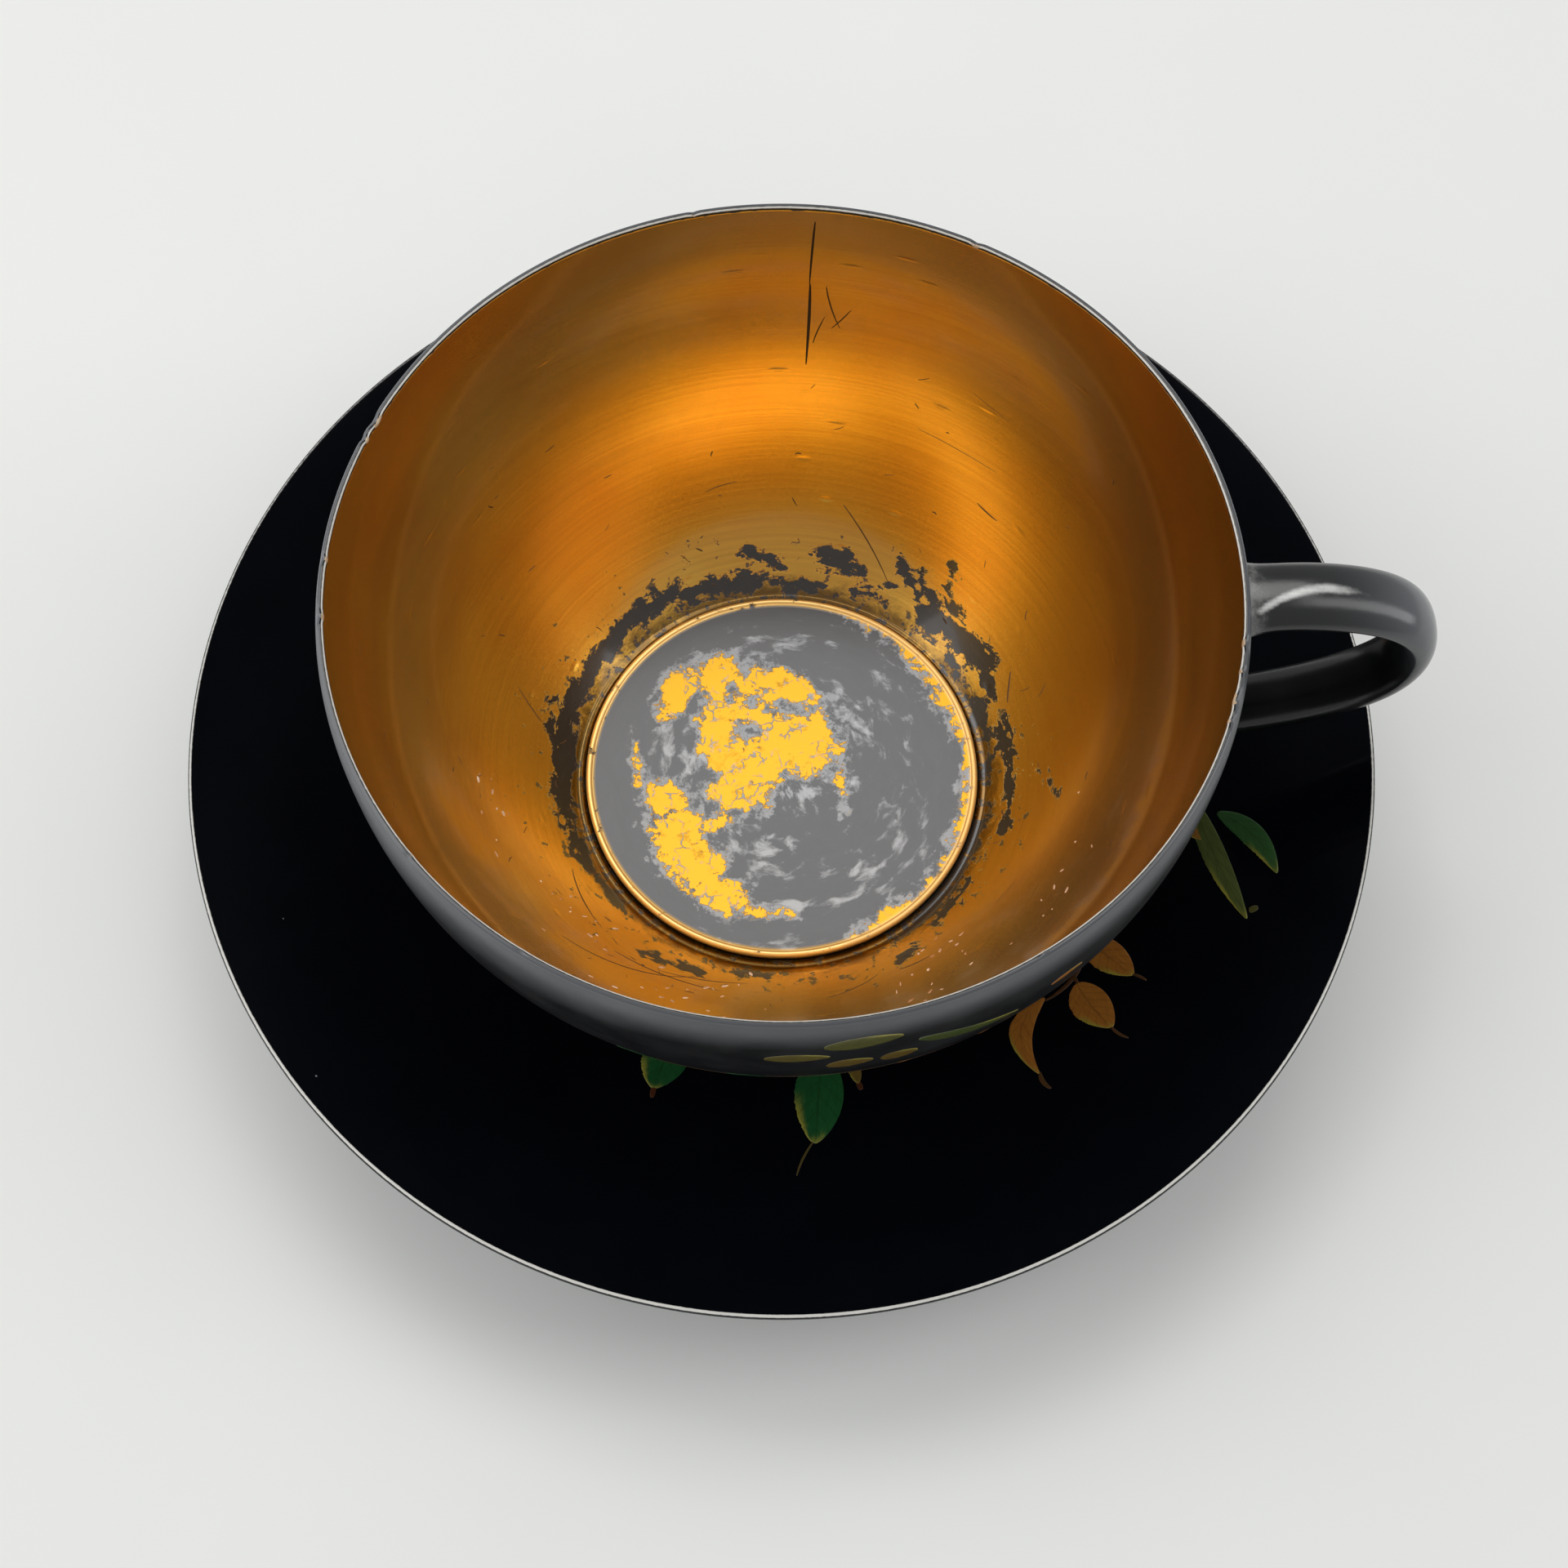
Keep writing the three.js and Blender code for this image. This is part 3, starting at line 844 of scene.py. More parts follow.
# %% Leaves on the saucer
SAUCER_LEAVES = [
    (-81.5, 34.5, -84.7, 47.8, 6.9, 0, 0.05), (-110.8, 34.5, -109.9, 43.2, 7, 0, 0.1),
    (-76.1, 37, -76.2, 40.5, 1.9, 0, 0.45), (-41.7, 42.9, -52, 49.9, 2.9, 2.9, 0.95),
    (-37, 44.9, -40.7, 51.8, 4.6, 0.45, 0.85), (-29, 42.8, -32.5, 50.1, 4.3, 0.3, 0.95),
    (-4.2, 50.6, -21.6, 59.2, 2.5, 1, 0.3), (-7, 53.6, -15.6, 61, 2.4, -0.7, 0.2),
    (-6.6, 50.2, -11, 52.2, 1.8, 0.3, 0.6), (20, 52, 27, 60, 3, 0.6, 0.2),
    (34, 50, 30, 58, 4.4, -0.3, 0.85), (58, 47, 64, 56, 5, 0.5, 0.1),
    (72, 46, 69, 53, 3.4, -0.4, 0.9),
]
SAUCER_STEMS = [
    (-31.5, 43.6, -42.5, 43.2, 0.6, -0.75, 0.8), (-36, 44, -37.2, 45.4, 0.5, 0.1, 0.8),
    (-51.7, 49.5, -52.4, 52.1, 0.6, 0.3, 0.7), (-40.6, 51.4, -40.9, 54.1, 0.4, 0.2, 0.75),
    (-32.4, 49.7, -32.6, 51.8, 0.4, -0.1, 0.75), (-84.6, 47.2, -87.4, 52, 0.3, 0.3, 0.25),
    (-109.9, 42.8, -109.4, 44.4, 0.8, 0, 1), (-76.2, 40.1, -76, 41.4, 0.9, 0, 1),
    (-20.4, 59, -19.9, 59.9, 0.8, 0, 0), (8, 50, 21, 52.4, 0.6, 0.8, 0.6),
    (21, 52, 34, 50.4, 0.6, -0.8, 0.6), (34, 50.4, 58, 47.4, 0.6, 1.2, 0.6),
    (58, 47.4, 72, 46.2, 0.5, -0.6, 0.6),
]
LEAF_GRID = {"lift": 0.05, "steps": 44, "sides": 40}
STEM_GRID = {"steps": 24, "sides": 10, "fullness": 0.35}
saucer_leaves = strokes(
    "saucer_leaves", on_brim, SAUCER_LEAVES, across_scale=48.0, fullness=0.72, seed=3, **LEAF_GRID
)
saucer_stems = strokes(
    "saucer_stems", on_brim, SAUCER_STEMS, across_scale=46.0, lift=0.035, seed=4, **STEM_GRID
)

# %% Leaves on the cup
CUP_LEAVES = [
    (-84.8, 55.1, -75.4, 55.6, 3.4, 0.1, 0.35), (-91.6, 51.7, -83.8, 52, 2.6, 0.1, 0.4),
    (-84.2, 47.7, -78.6, 48.7, 3.6, 0.1, 0.45), (-77.7, 47.6, -73.2, 48.6, 3.8, -0.1, 0.45),
    (-73.6, 52.9, -59.8, 47.4, 2.6, -0.7, 0.3), (-56, 50.7, -51.4, 51.3, 1.4, 0.1, 0.8),
    (-110.5, 40.6, -104, 36, 3.4, 0.4, 0.15), (-96, 40.2, -90.5, 34, 3.6, 0.3, 0.1),
    (-84, 39, -80, 32, 4.2, -0.4, 0.1), (-74, 39.2, -71, 33, 4, 0.4, 0.85),
    (-63, 39.6, -60, 33.5, 4.2, -0.3, 0.9), (-50, 41, -46, 35, 3.8, 0.4, 0.2),
    (-40, 43, -35, 38, 3.2, -0.3, 0.85),
]
CUP_STEMS = [
    (-36, 42.6, -57, 39.8, 0.5, -0.9, 0.75), (-57, 39.8, -74, 39.4, 0.5, 0.9, 0.7),
    (-74, 39.4, -92, 39, 0.45, -0.6, 0.65), (-92, 39, -111, 40.4, 0.4, 0.8, 0.6),
]
cup_leaves = strokes(
    "cup_leaves", on_belly, CUP_LEAVES, across_scale=48.5, fullness=0.6, seed=5, **LEAF_GRID
)
cup_stems = strokes(
    "cup_stems", on_belly, CUP_STEMS, across_scale=48.5, lift=0.03, seed=6, **STEM_GRID
)

# %% [markdown]
# ## Scratches in the gold
# A straight crack runs down the wall across from the drinker. Round it and round the floor are the
# scratches of use. The few that stand out are listed one by one, and the rest are strewn at random from
# a fixed seed: most of them low down, and most of them running round the cup.

# %% Scratches
CRACK = [
    (86.4, 58.6, 87, 46, 0.30, 0.05, 0), (86.9, 47.5, 87.1, 34, 0.42, -0.08, 0),
    (84.6, 47, 82, 40, 0.22, 0.3, 0.2), (83.6, 40, 80.6, 43.5, 0.2, 0.1, 0.2),
    (86.2, 37.5, 84.4, 42, 0.2, -0.1, 0.2),
]
DEEP_SCRATCHES = [
    (78.5, 19, 62, 12.9, 0.21, 0.24, 0.50), (68.1, 29.4, 50.8, 28.9, 0.10, 0.24, 0.80),
    (60.3, 36.8, 52.3, 35.6, 0.10, 0.12, 0.80), (52.7, 24.5, 47.2, 24.1, 0.24, 0.12, 0.60),
    (106.7, 20.2, 99.4, 20.7, 0.12, -0.12, 0.70), (-136.7, 19.8, -107.3, 12.9, 0.19, 0.30, 0.50),
    (-128.7, 15.9, -101.5, 14.4, 0.18, -0.18, 0.50), (-151.6, 12.9, -132.6, 14.5, 0.17, 0.18, 0.50),
    (-118, 14.8, -96, 12.6, 0.14, -0.18, 0.60), (-80, 15, -66, 13.5, 0.16, 0.18, 0.60),
    (-62.3, 14.2, -54.4, 14.7, 0.17, 0.06, 0.50), (-38, 24, -33, 28, 0.12, 0.12, 0.70),
    (24, 15, 17, 13.4, 0.24, 0.12, 0.50), (171, 14, 166, 17.5, 0.21, 0.06, 0.50),
]


def strewn_scratches(count, seed):
    """Random scratches: azimuth even, height above the floor falling off as a power, length
    one or two degrees, and a slant of up to a millimetre either way."""
    chance = np.random.default_rng(seed)
    azimuth = chance.uniform(-180, 180, count)
    height = lining_low[2] + 1.2 + 34 * chance.uniform(0, 1, count) ** 2.2
    reach = chance.uniform(0.4, 2.4, count) * chance.choice([-1, 1], count)
    slant = chance.normal(0, 0.5, count)
    width = chance.uniform(0.08, 0.22, count)
    bow = chance.normal(0, 0.08, count)
    tone = chance.uniform(0.2, 0.9, count)
    return np.column_stack([
        azimuth, height, azimuth + reach, height + slant, width, bow, tone,
    ])


def strewn_dent_glints(places, each, seed):
    """Painted glints of small dents round some places, each a stroke a fraction of a millimetre long."""
    chance = np.random.default_rng(seed)
    azimuth, height, spread = np.repeat(np.array(places, float), each, axis=0).T
    azimuth = azimuth + chance.normal(0, 1, len(azimuth)) * spread
    height = height + chance.normal(0, 1.6, len(height))
    reach = chance.uniform(0.3, 1.6, len(height))
    slant = chance.normal(-0.1, 0.3, len(height))
    width = chance.uniform(0.16, 0.44, len(height))
    tone = chance.uniform(0, 1, len(height))
    return np.column_stack([
        azimuth, height, azimuth + reach, height + slant, width, 0 * tone, tone,
    ])


# Painted glints of dents, gathered round places: azimuth in degrees, height in millimetres, spread in
# degrees.
GLINT_PLACES = [
    (-140, 15, 5), (-122, 17, 7), (-104, 16, 7), (-52, 15, 5), (-62, 19, 12), (-95, 22, 25),
    (-165, 20, 10), (-30, 22, 14),
]
glint_rows = strewn_dent_glints(GLINT_PLACES, each=10, seed=21)
scratch_rows = np.vstack([CRACK, DEEP_SCRATCHES, strewn_scratches(count=110, seed=11)])
SCRATCH_GRID = {"across_scale": 38.0, "sides": 8, "fullness": 0.5}
dent_glints = strokes(
    "lining_dent_glints", on_lining, glint_rows, lift=0.02, steps=8, seed=22, **SCRATCH_GRID
)
scratches = strokes(
    "lining_scratches", on_lining, scratch_rows, lift=0.012, steps=14, seed=12, **SCRATCH_GRID
)

# %% [markdown]
# ## Colours and nodes
# Colours are written as the eye sees them, in sRGB hex, and turned to the linear values that light
# works with. One small function adds a node with its settings and its links, and the others name the
# few kinds of node that the finishes below are built from.

# %% Material helpers
def colour(code):
    """An sRGB hex colour as linear red, green, blue and alpha."""
    channel = np.array([int(code[i:i + 2], 16) for i in (1, 3, 5)]) / 255
    linear = np.where(channel <= 0.04045, channel / 12.92, ((channel + 0.055) / 1.055) ** 2.4)
    return (*linear.tolist(), 1.0)


def add(tree, kind, sockets=None, **settings):
    """Adds a node. Settings are the node's own choices; sockets are set to a value or linked."""
    node = tree.nodes.new(kind)
    for name, value in settings.items():
        setattr(node, name, value)
    for name, value in (sockets or {}).items():
        if isinstance(value, bpy.types.NodeSocket):
            tree.links.new(value, node.inputs[name])
        else:
            node.inputs[name].default_value = value
    return node


def start_finish(name):
    """A new material, its empty node tree, and the place of each point in metres."""
    finish = bpy.data.materials.new(name)
    finish.use_nodes = True
    tree = finish.node_tree
    tree.nodes.clear()
    return finish, tree, add(tree, "ShaderNodeTexCoord").outputs["Object"]


def end_finish(finish, sockets):
    """The Principled shader, which takes all that was worked out, and the output."""
    shader = add(finish.node_tree, "ShaderNodeBsdfPrincipled", sockets)
    add(finish.node_tree, "ShaderNodeOutputMaterial", {"Surface": shader.outputs[0]})
    return finish


def per(size_mm):
    """The scale that gives a texture features of a size in millimetres, on metre coordinates."""
    return 1 / (size_mm * MM)


# %% Nodes that the finishes use most
def stored(tree, name, output="Fac"):
    """What the mesh stores on its points under a name."""
    return add(tree, "ShaderNodeAttribute", attribute_name=name).outputs[output]


def noise(tree, vector, scale, detail=2.0, roughness=0.5, distortion=0.0):
    """A cloudy pattern with a mean of one half."""
    return add(tree, "ShaderNodeTexNoise", {
        "Vector": vector, "Scale": scale, "Detail": detail, "Roughness": roughness,
        "Distortion": distortion,
    }).outputs[0]


def stretched(tree, vector, stretch):
    """Coordinates times a stretch along each axis, so that a pattern on them runs one way."""
    return add(tree, "ShaderNodeVectorMath", {0: vector, 1: stretch}, operation="MULTIPLY").outputs[0]


def maths(tree, operation, *values, **settings):
    """One step of arithmetic."""
    return add(tree, "ShaderNodeMath", dict(enumerate(values)), operation=operation,
               **settings).outputs[0]


def plus(tree, value, extra, times):
    """A value plus so many times another: most often an edge made to wander by a noise."""
    return maths(tree, "MULTIPLY_ADD", extra, times, value)


def ramp(tree, value, start=0.0, end=1.0, low=0.0, high=1.0, **settings):
    """Runs evenly from `low`, where the value is `start`, to `high`, where it is `end`."""
    return add(tree, "ShaderNodeMapRange", {
        "Value": value, "From Min": start, "From Max": end, "To Min": low, "To Max": high,
    }, **settings).outputs[0]


def smooth(tree, value, start, end, top=1.0):
    """The same from 0 to `top`, easing in and out."""
    return ramp(tree, value, start, end, high=top, interpolation_type="SMOOTHSTEP")


def blend(tree, share, first, second):
    """The first colour where the share is 0 and the second where it is 1, each a node or a hex."""
    pair = [colour(shade) if isinstance(shade, str) else shade for shade in (first, second)]
    return add(tree, "ShaderNodeMix", {
        MIX_SHARE: share, MIX_FIRST: pair[0], MIX_SECOND: pair[1],
    }, data_type="RGBA").outputs[MIX_RESULT]


def bump(tree, height, strength, depth, over=None, **settings):
    """Relief of a depth in millimetres, laid over another relief if there is one."""
    sockets = {"Strength": strength, "Distance": depth * MM, "Height": height}
    if over:
        sockets["Normal"] = over
    return add(tree, "ShaderNodeBump", sockets, **settings).outputs[0]


# Where the sockets of the mix node are, first for colours and then for places.
MIX_SHARE, MIX_FIRST, MIX_SECOND, MIX_RESULT = 0, 6, 7, 2
MIX_PLACE, MIX_SHIFT, MIX_PLACED = 4, 5, 1

# %% [markdown]
# ## Black lacquer
# Tree-sap lacquer is a natural plastic. It is built up in dozens of thin coats with lampblack in them
# and polished with charcoal and oil, so it is almost perfectly black in its depth and shines only at
# its surface. What tells the eye that it is old is on that surface: faint polishing lines, a little
# dust, and a rim where the coats have worn to the grey ground below.

# %% Black lacquer
def black_lacquer(name, roughness, dust_share):
    finish, tree, place = start_finish(name)
    cloud = noise(tree, place, scale=per(9), detail=5.0, roughness=0.62)
    fine = noise(tree, place, scale=per(0.5), detail=3.0, roughness=0.6)
    deep = blend(tree, cloud, "#040508", "#0A0C12")

    # Dust: a few cells of a fine cell pattern are chosen at random, and only their middles show.
    cells = add(tree, "ShaderNodeTexVoronoi", {"Vector": place, "Scale": per(3.2)})
    chosen = add(tree, "ShaderNodeSeparateColor", {"Color": cells.outputs["Color"]}).outputs[0]
    picked = maths(tree, "GREATER_THAN", chosen, 1 - dust_share)
    speck = smooth(tree, cells.outputs["Distance"], start=0.055, end=0.03)
    dust = maths(tree, "MULTIPLY", picked, speck)
    dusty = blend(tree, dust, deep, "#9AA0A4")

    # Wear: the rim value plus a ragged noise, so that it comes and goes along the edge.
    rim = stored(tree, "rim")
    ragged = maths(tree, "MULTIPLY", rim, fine)
    worn = smooth(tree, ragged, start=0.60, end=0.70, top=0.6)
    rubbed = blend(tree, worn, dusty, "#5E5E60")

    # A painted reflection makes the upper belly satin grey, most on the left side. The very crest of a
    # rim is pale: partly a worn edge, partly a painted highlight.
    painted_belly_reflection = stored(tree, "painted_belly_reflection")
    wear_and_painted_reflection = blend(tree, painted_belly_reflection, rubbed, "#5E6064")
    crest_highlight = stored(tree, "crest_highlight")
    crest_highlight_wander = plus(tree, crest_highlight, fine, times=0.35)
    crest_highlight_mask = smooth(tree, crest_highlight_wander, start=0.45, end=0.75, top=0.9)
    crest_highlighted = blend(tree, crest_highlight_mask, wear_and_painted_reflection, "#DAD8D2")

    # Chips show the bare wood. Their edges wander by the fine noise.
    chip = stored(tree, "chip")
    chip_cut = plus(tree, chip, fine, times=1.6)
    chip_mask = smooth(tree, chip_cut, start=1.35, end=1.5)
    wood = blend(tree, cloud, "#7A4E2C", "#D8C4A4")
    base = blend(tree, chip_mask, crest_highlighted, wood)

    satin = ramp(tree, cloud, start=0.3, end=0.7, low=roughness * 0.8, high=roughness * 1.25)
    polished = ramp(tree, rim, start=0.5, end=0.8, low=satin, high=0.12)
    dull = plus(tree, polished, worn, times=0.3)
    relief = bump(tree, fine, strength=0.12, depth=0.02)
    return end_finish(finish, {"IOR": 1.52, "Base Color": base, "Roughness": dull, "Normal": relief})


polished_black = black_lacquer("polished_black_lacquer", roughness=0.07, dust_share=0.004)
handled_black = black_lacquer("handled_black_lacquer", roughness=0.38, dust_share=0.01)

# %% [markdown]
# ## Gold lacquer
# Gold powder is dusted on the last coat while it is tacky and sealed with clear lacquer, which has
# aged to orange. So the finish is a metal with soft reflections, tinted by its clear coat. Where the
# `worn` value is high the gold is gone, in streaks that run round the cup, and the dark coat below
# shows, with no metal in it.

# %% Gold lacquer
def gold_lacquer():
    finish, tree, place = start_finish("gold_powder_lacquer")
    turned = stored(tree, "turned", "Vector")
    worn = stored(tree, "worn")
    above = stored(tree, "above")
    lip = stored(tree, "lip")

    # The `turned` values are millimetres, so here a scale is one over the size itself.
    streaks = noise(tree, turned, scale=0.85, detail=7.0, roughness=0.72, distortion=0.5)
    round_and_round = stretched(tree, turned, (0.12, 0.12, 3.2))
    lathe_lines = noise(tree, round_and_round, scale=1.0, detail=4.0, roughness=0.6)
    powder = noise(tree, place, scale=per(0.25))
    blush = noise(tree, place, scale=per(22), detail=4.0, roughness=0.55)
    flecks = noise(tree, place, scale=per(1.5), detail=4.0, roughness=0.65)

    warm = ramp(tree, blush, start=0.35, end=0.65)
    gold = blend(tree, warm, "#F2C250", "#E8AE42")
    lined = ramp(tree, lathe_lines, start=0.3, end=0.7, high=0.22)
    toned = blend(tree, lined, gold, "#8A4A12")

    # The gold is browner on the handle's side of the cup, and painted shade darkens it deep in the
    # groove.
    across_cup = add(tree, "ShaderNodeSeparateXYZ", {"Vector": place}).outputs[0]
    browned = smooth(tree, across_cup, start=14 * MM, end=46 * MM, top=0.7)
    browner_by_handle = blend(tree, browned, toned, "#8C5210")
    groove_shade_height = plus(tree, above, streaks, times=4.0)
    groove_shade = smooth(tree, groove_shade_height, start=3.6, end=1.9, top=0.8)
    groove_shaded = blend(tree, groove_shade, browner_by_handle, "#3A2008")

    # A patch's edge wanders by a streaky noise. Small flecks are strewn about it and thin out upwards.
    wander = ramp(tree, streaks, start=0.25, end=0.75, low=-1.3, high=1.9)
    frayed = ramp(tree, flecks, start=0.25, end=0.75, low=-0.8, high=0.8)
    depth_in = maths(tree, "ADD", maths(tree, "ADD", worn, wander), frayed)
    rubbed = smooth(tree, depth_in, start=-0.05, end=0.25)
    fleck_limit = ramp(tree, above, start=0.0, end=12.0, low=0.56, high=0.76)
    fleck_over = maths(tree, "SUBTRACT", flecks, fleck_limit)
    fleck = smooth(tree, fleck_over, start=0.0, end=0.03, top=0.85)
    lip_ragged = maths(tree, "MULTIPLY", lip, flecks)
    lip_worn = smooth(tree, lip_ragged, start=0.44, end=0.52)
    gone_low = maths(tree, "MAXIMUM", rubbed, fleck)
    gone = maths(tree, "MAXIMUM", gone_low, lip_worn)

    undercoat = blend(tree, streaks, "#100E0D", "#3A3532")
    base = blend(tree, gone, groove_shaded, undercoat)
    most_metal = 0.92
    metal = maths(tree, "SUBTRACT", most_metal, gone, use_clamp=True)
    soft = ramp(tree, powder, start=0.3, end=0.7, low=0.2, high=0.27)
    grain = bump(tree, lathe_lines, strength=0.25, depth=0.02)
    pits = add(tree, "ShaderNodeTexVoronoi", {
        "Vector": stretched(tree, turned, (1.0, 1.0, 0.9)), "Scale": 0.42,
    }).outputs["Distance"]
    pit = smooth(tree, pits, start=0.0, end=0.14)
    dented = bump(tree, pit, strength=0.5, depth=0.06, over=grain)
    flaked = bump(tree, gone, strength=0.5, depth=0.05, over=dented, invert=True)
    return end_finish(finish, {
        "Coat Weight": 0.6, "Coat Roughness": 0.08, "Coat IOR": 1.5, "Base Color": base,
        "Metallic": metal, "Roughness": soft, "Normal": flaked,
    })


gold_finish = gold_lacquer()

# %% [markdown]
# ## The worn floor
# On the disc the gold has flaked to islands with dark cracks through them. The bare ground between is
# a dark satin coat that mirrors the sky, and where hot drinks have stood it has bloomed to a bluish
# white haze. The bead on the edge has kept its gold.

# %% Worn floor
def worn_floor():
    finish, tree, place = start_finish("worn_floor_lacquer")
    gold_left = stored(tree, "gold")
    haze_left = stored(tree, "haze")
    bead_here = stored(tree, "bead")

    ragged = noise(tree, place, scale=per(1.7), detail=7.0, roughness=0.7)
    edge_wander = maths(tree, "SUBTRACT", ragged, 0.5)
    field = plus(tree, gold_left, edge_wander, times=0.34)
    island = smooth(tree, field, start=0.0, end=0.012)
    crack_wander = add(tree, "ShaderNodeTexNoise", {
        "Vector": place, "Scale": per(1.5), "Detail": 3.0,
    }).outputs["Color"]
    crack_sway = 0.0025
    crack_place = add(tree, "ShaderNodeMix", {
        MIX_SHARE: crack_sway, MIX_PLACE: place, MIX_SHIFT: crack_wander,
    }, data_type="VECTOR").outputs[MIX_PLACED]
    crackle = add(tree, "ShaderNodeTexVoronoi", {
        "Vector": crack_place, "Scale": per(1.9),
    }, feature="DISTANCE_TO_EDGE").outputs["Distance"]
    crack = smooth(tree, crackle, start=0.02, end=0.06)
    broken = noise(tree, place, scale=per(2.3), detail=3.0)
    crack_share = ramp(tree, broken, start=0.38, end=0.5)
    crack_shown = maths(tree, "MAXIMUM", crack, crack_share)
    cracked = maths(tree, "MULTIPLY", island, crack_shown)
    bead_gap = ramp(tree, ragged, start=0.33, end=0.4)
    bead_gold = maths(tree, "MULTIPLY", bead_here, bead_gap)
    gold_mask = maths(tree, "MAXIMUM", cracked, bead_gold)

    # The haze is wiped into streaks inside its ovals, and lies as a thin halo round the gold.
    wiped = stored(tree, "wiped", "Vector")
    cloud = noise(tree, wiped, scale=0.62, detail=6.0, roughness=0.6, distortion=0.4)
    wisp_field = plus(tree, haze_left, cloud, times=1.1)
    wisps = smooth(tree, wisp_field, start=0.53, end=0.76, top=0.85)
    halo_wander = maths(tree, "SUBTRACT", cloud, 0.5)
    halo_field = plus(tree, field, halo_wander, times=0.22)
    halo = smooth(tree, halo_field, start=-0.05, end=0.0, top=0.6)
    bloom = maths(tree, "MAXIMUM", wisps, halo)

    ground = blend(tree, cloud, "#35383E", "#474B54")
    bloomed = blend(tree, bloom, ground, "#D2DEEC")
    speckle = ramp(tree, ragged, start=0.36, end=0.44, low=0.45, high=0.0)
    face_gold = blend(tree, speckle, "#FCC436", "#9A6A1A")
    any_gold = blend(tree, bead_here, face_gold, "#FFD68A")
    base = blend(tree, gold_mask, bloomed, any_gold)
    most_metal = 0.75
    metal = maths(tree, "MULTIPLY", gold_mask, most_metal)
    satin = ramp(tree, bloom, low=0.24, high=0.5)
    rough = plus(tree, satin, gold_mask, times=0.12)
    flake = bump(tree, gold_mask, strength=0.8, depth=0.06)
    return end_finish(finish, {
        "IOR": 1.6, "Base Color": base, "Metallic": metal, "Roughness": rough, "Normal": flake,
    })


floor_finish = worn_floor()

# %% [markdown]
# ## Leaf paint
# The leaves are painted in lacquer coloured with pigment, under a last thin clear coat, so they are
# dull in colour and glossy on top. Each is a stroke or two of a loaded brush: green or orange in the
# body, a lighter edge on one side, and veins scratched in dark. The finish reads how far along and
# across its stroke a point is.

# %% Leaf paint
def leaf_paint():
    finish, tree, place = start_finish("pigmented_lacquer_paint")
    along = stored(tree, "along")
    across = stored(tree, "across")
    tone = stored(tree, "tone")
    on_leaf = add(tree, "ShaderNodeCombineXYZ", {0: along, 1: across, 2: tone}).outputs[0]
    bristle = noise(tree, on_leaf, scale=6.0, detail=5.0, roughness=0.7, distortion=0.6)
    mottle = noise(tree, place, scale=per(0.7), detail=4.0, roughness=0.6)

    green = blend(tree, bristle, "#0C3A1E", "#2F6E3A")
    autumn = blend(tree, bristle, "#7A4418", "#C98435")
    ripe = smooth(tree, tone, start=0.1, end=0.85)
    body = blend(tree, ripe, green, autumn)

    # The lighter edge lies on one side, and the tip is lighter too.
    side = plus(tree, across, bristle, times=0.7)
    light_edge = smooth(tree, side, start=0.85, end=1.3, top=0.85)
    lower_half = smooth(tree, along, start=0.45, end=0.75)
    edge_shown = maths(tree, "MULTIPLY", light_edge, lower_half)
    to_the_tip = plus(tree, along, bristle, times=0.5)
    tip = smooth(tree, to_the_tip, start=1.12, end=1.3, top=0.75)
    lit = maths(tree, "MAXIMUM", edge_shown, tip)
    painted = blend(tree, lit, body, "#A39A3C")

    # Veins: a middle one, and side ones that slant forward from it.
    off_middle = maths(tree, "ABSOLUTE", across)
    middle = ramp(tree, off_middle, start=0.07, end=0.02, high=0.7)
    slanted = plus(tree, along, off_middle, times=-0.22)
    vein_rate = 40.0
    waves = maths(tree, "SINE", maths(tree, "MULTIPLY", slanted, vein_rate))
    side_veins = ramp(tree, waves, start=0.8, end=1.0, high=0.45)
    veins = maths(tree, "MAXIMUM", middle, side_veins)
    faint = maths(tree, "MULTIPLY", veins, mottle)
    base = blend(tree, faint, painted, "#120C08")
    relief = bump(tree, bristle, strength=0.4, depth=0.03)
    return end_finish(finish, {
        "Roughness": 0.3, "Coat Weight": 0.3, "Coat Roughness": 0.1, "Base Color": base,
        "Normal": relief,
    })


def stem_paint():
    finish, tree, place = start_finish("stem_paint")
    tone = stored(tree, "tone")
    mottle = noise(tree, place, scale=per(0.8), detail=4.0)
    brown = blend(tree, mottle, "#2A150C", "#6B3A22")
    base = blend(tree, tone, "#4E4A22", brown)
    return end_finish(finish, {"Roughness": 0.35, "Base Color": base})


leaf_finish = leaf_paint()
stem_finish = stem_paint()

# %% [markdown]
# ## Scratches, handle and dowels
# A scratch shows the dark ground below the gold, and small pale marks are painted glints of dents in the
# gold. The handle has the cup's satin black, rubbed to grey where it meets the wall, with a painted grey
# reflection round its furthest bend and a painted highlight along its top. The dowels are bare split
# bamboo, with its straight fibres, and are only seen when the cup is taken apart.

# %% Small finishes
def bare_ground():
    finish, tree, place = start_finish("bare_ground_coat")
    tone = stored(tree, "tone")
    mottle = noise(tree, place, scale=per(0.6), detail=3.0)
    lighter = maths(tree, "MULTIPLY", mottle, tone)
    base = blend(tree, lighter, "#2A1B0C", "#A5691F")
    return end_finish(finish, {"Roughness": 0.5, "Base Color": base})


def split_bamboo():
    finish, tree, place = start_finish("split_bamboo")
    lengthways = add(tree, "ShaderNodeMapping", {
        "Vector": place, "Scale": (0.08, 1.0, 1.0),
    }).outputs[0]
    fibres = noise(tree, lengthways, scale=per(0.25), detail=4.0, roughness=0.6)
    base = blend(tree, fibres, "#B48A4C", "#E0C48C")
    rough = ramp(tree, fibres, low=0.5, high=0.75)
    relief = bump(tree, fibres, strength=0.4, depth=0.05)
    return end_finish(finish, {"IOR": 1.45, "Base Color": base, "Roughness": rough, "Normal": relief})


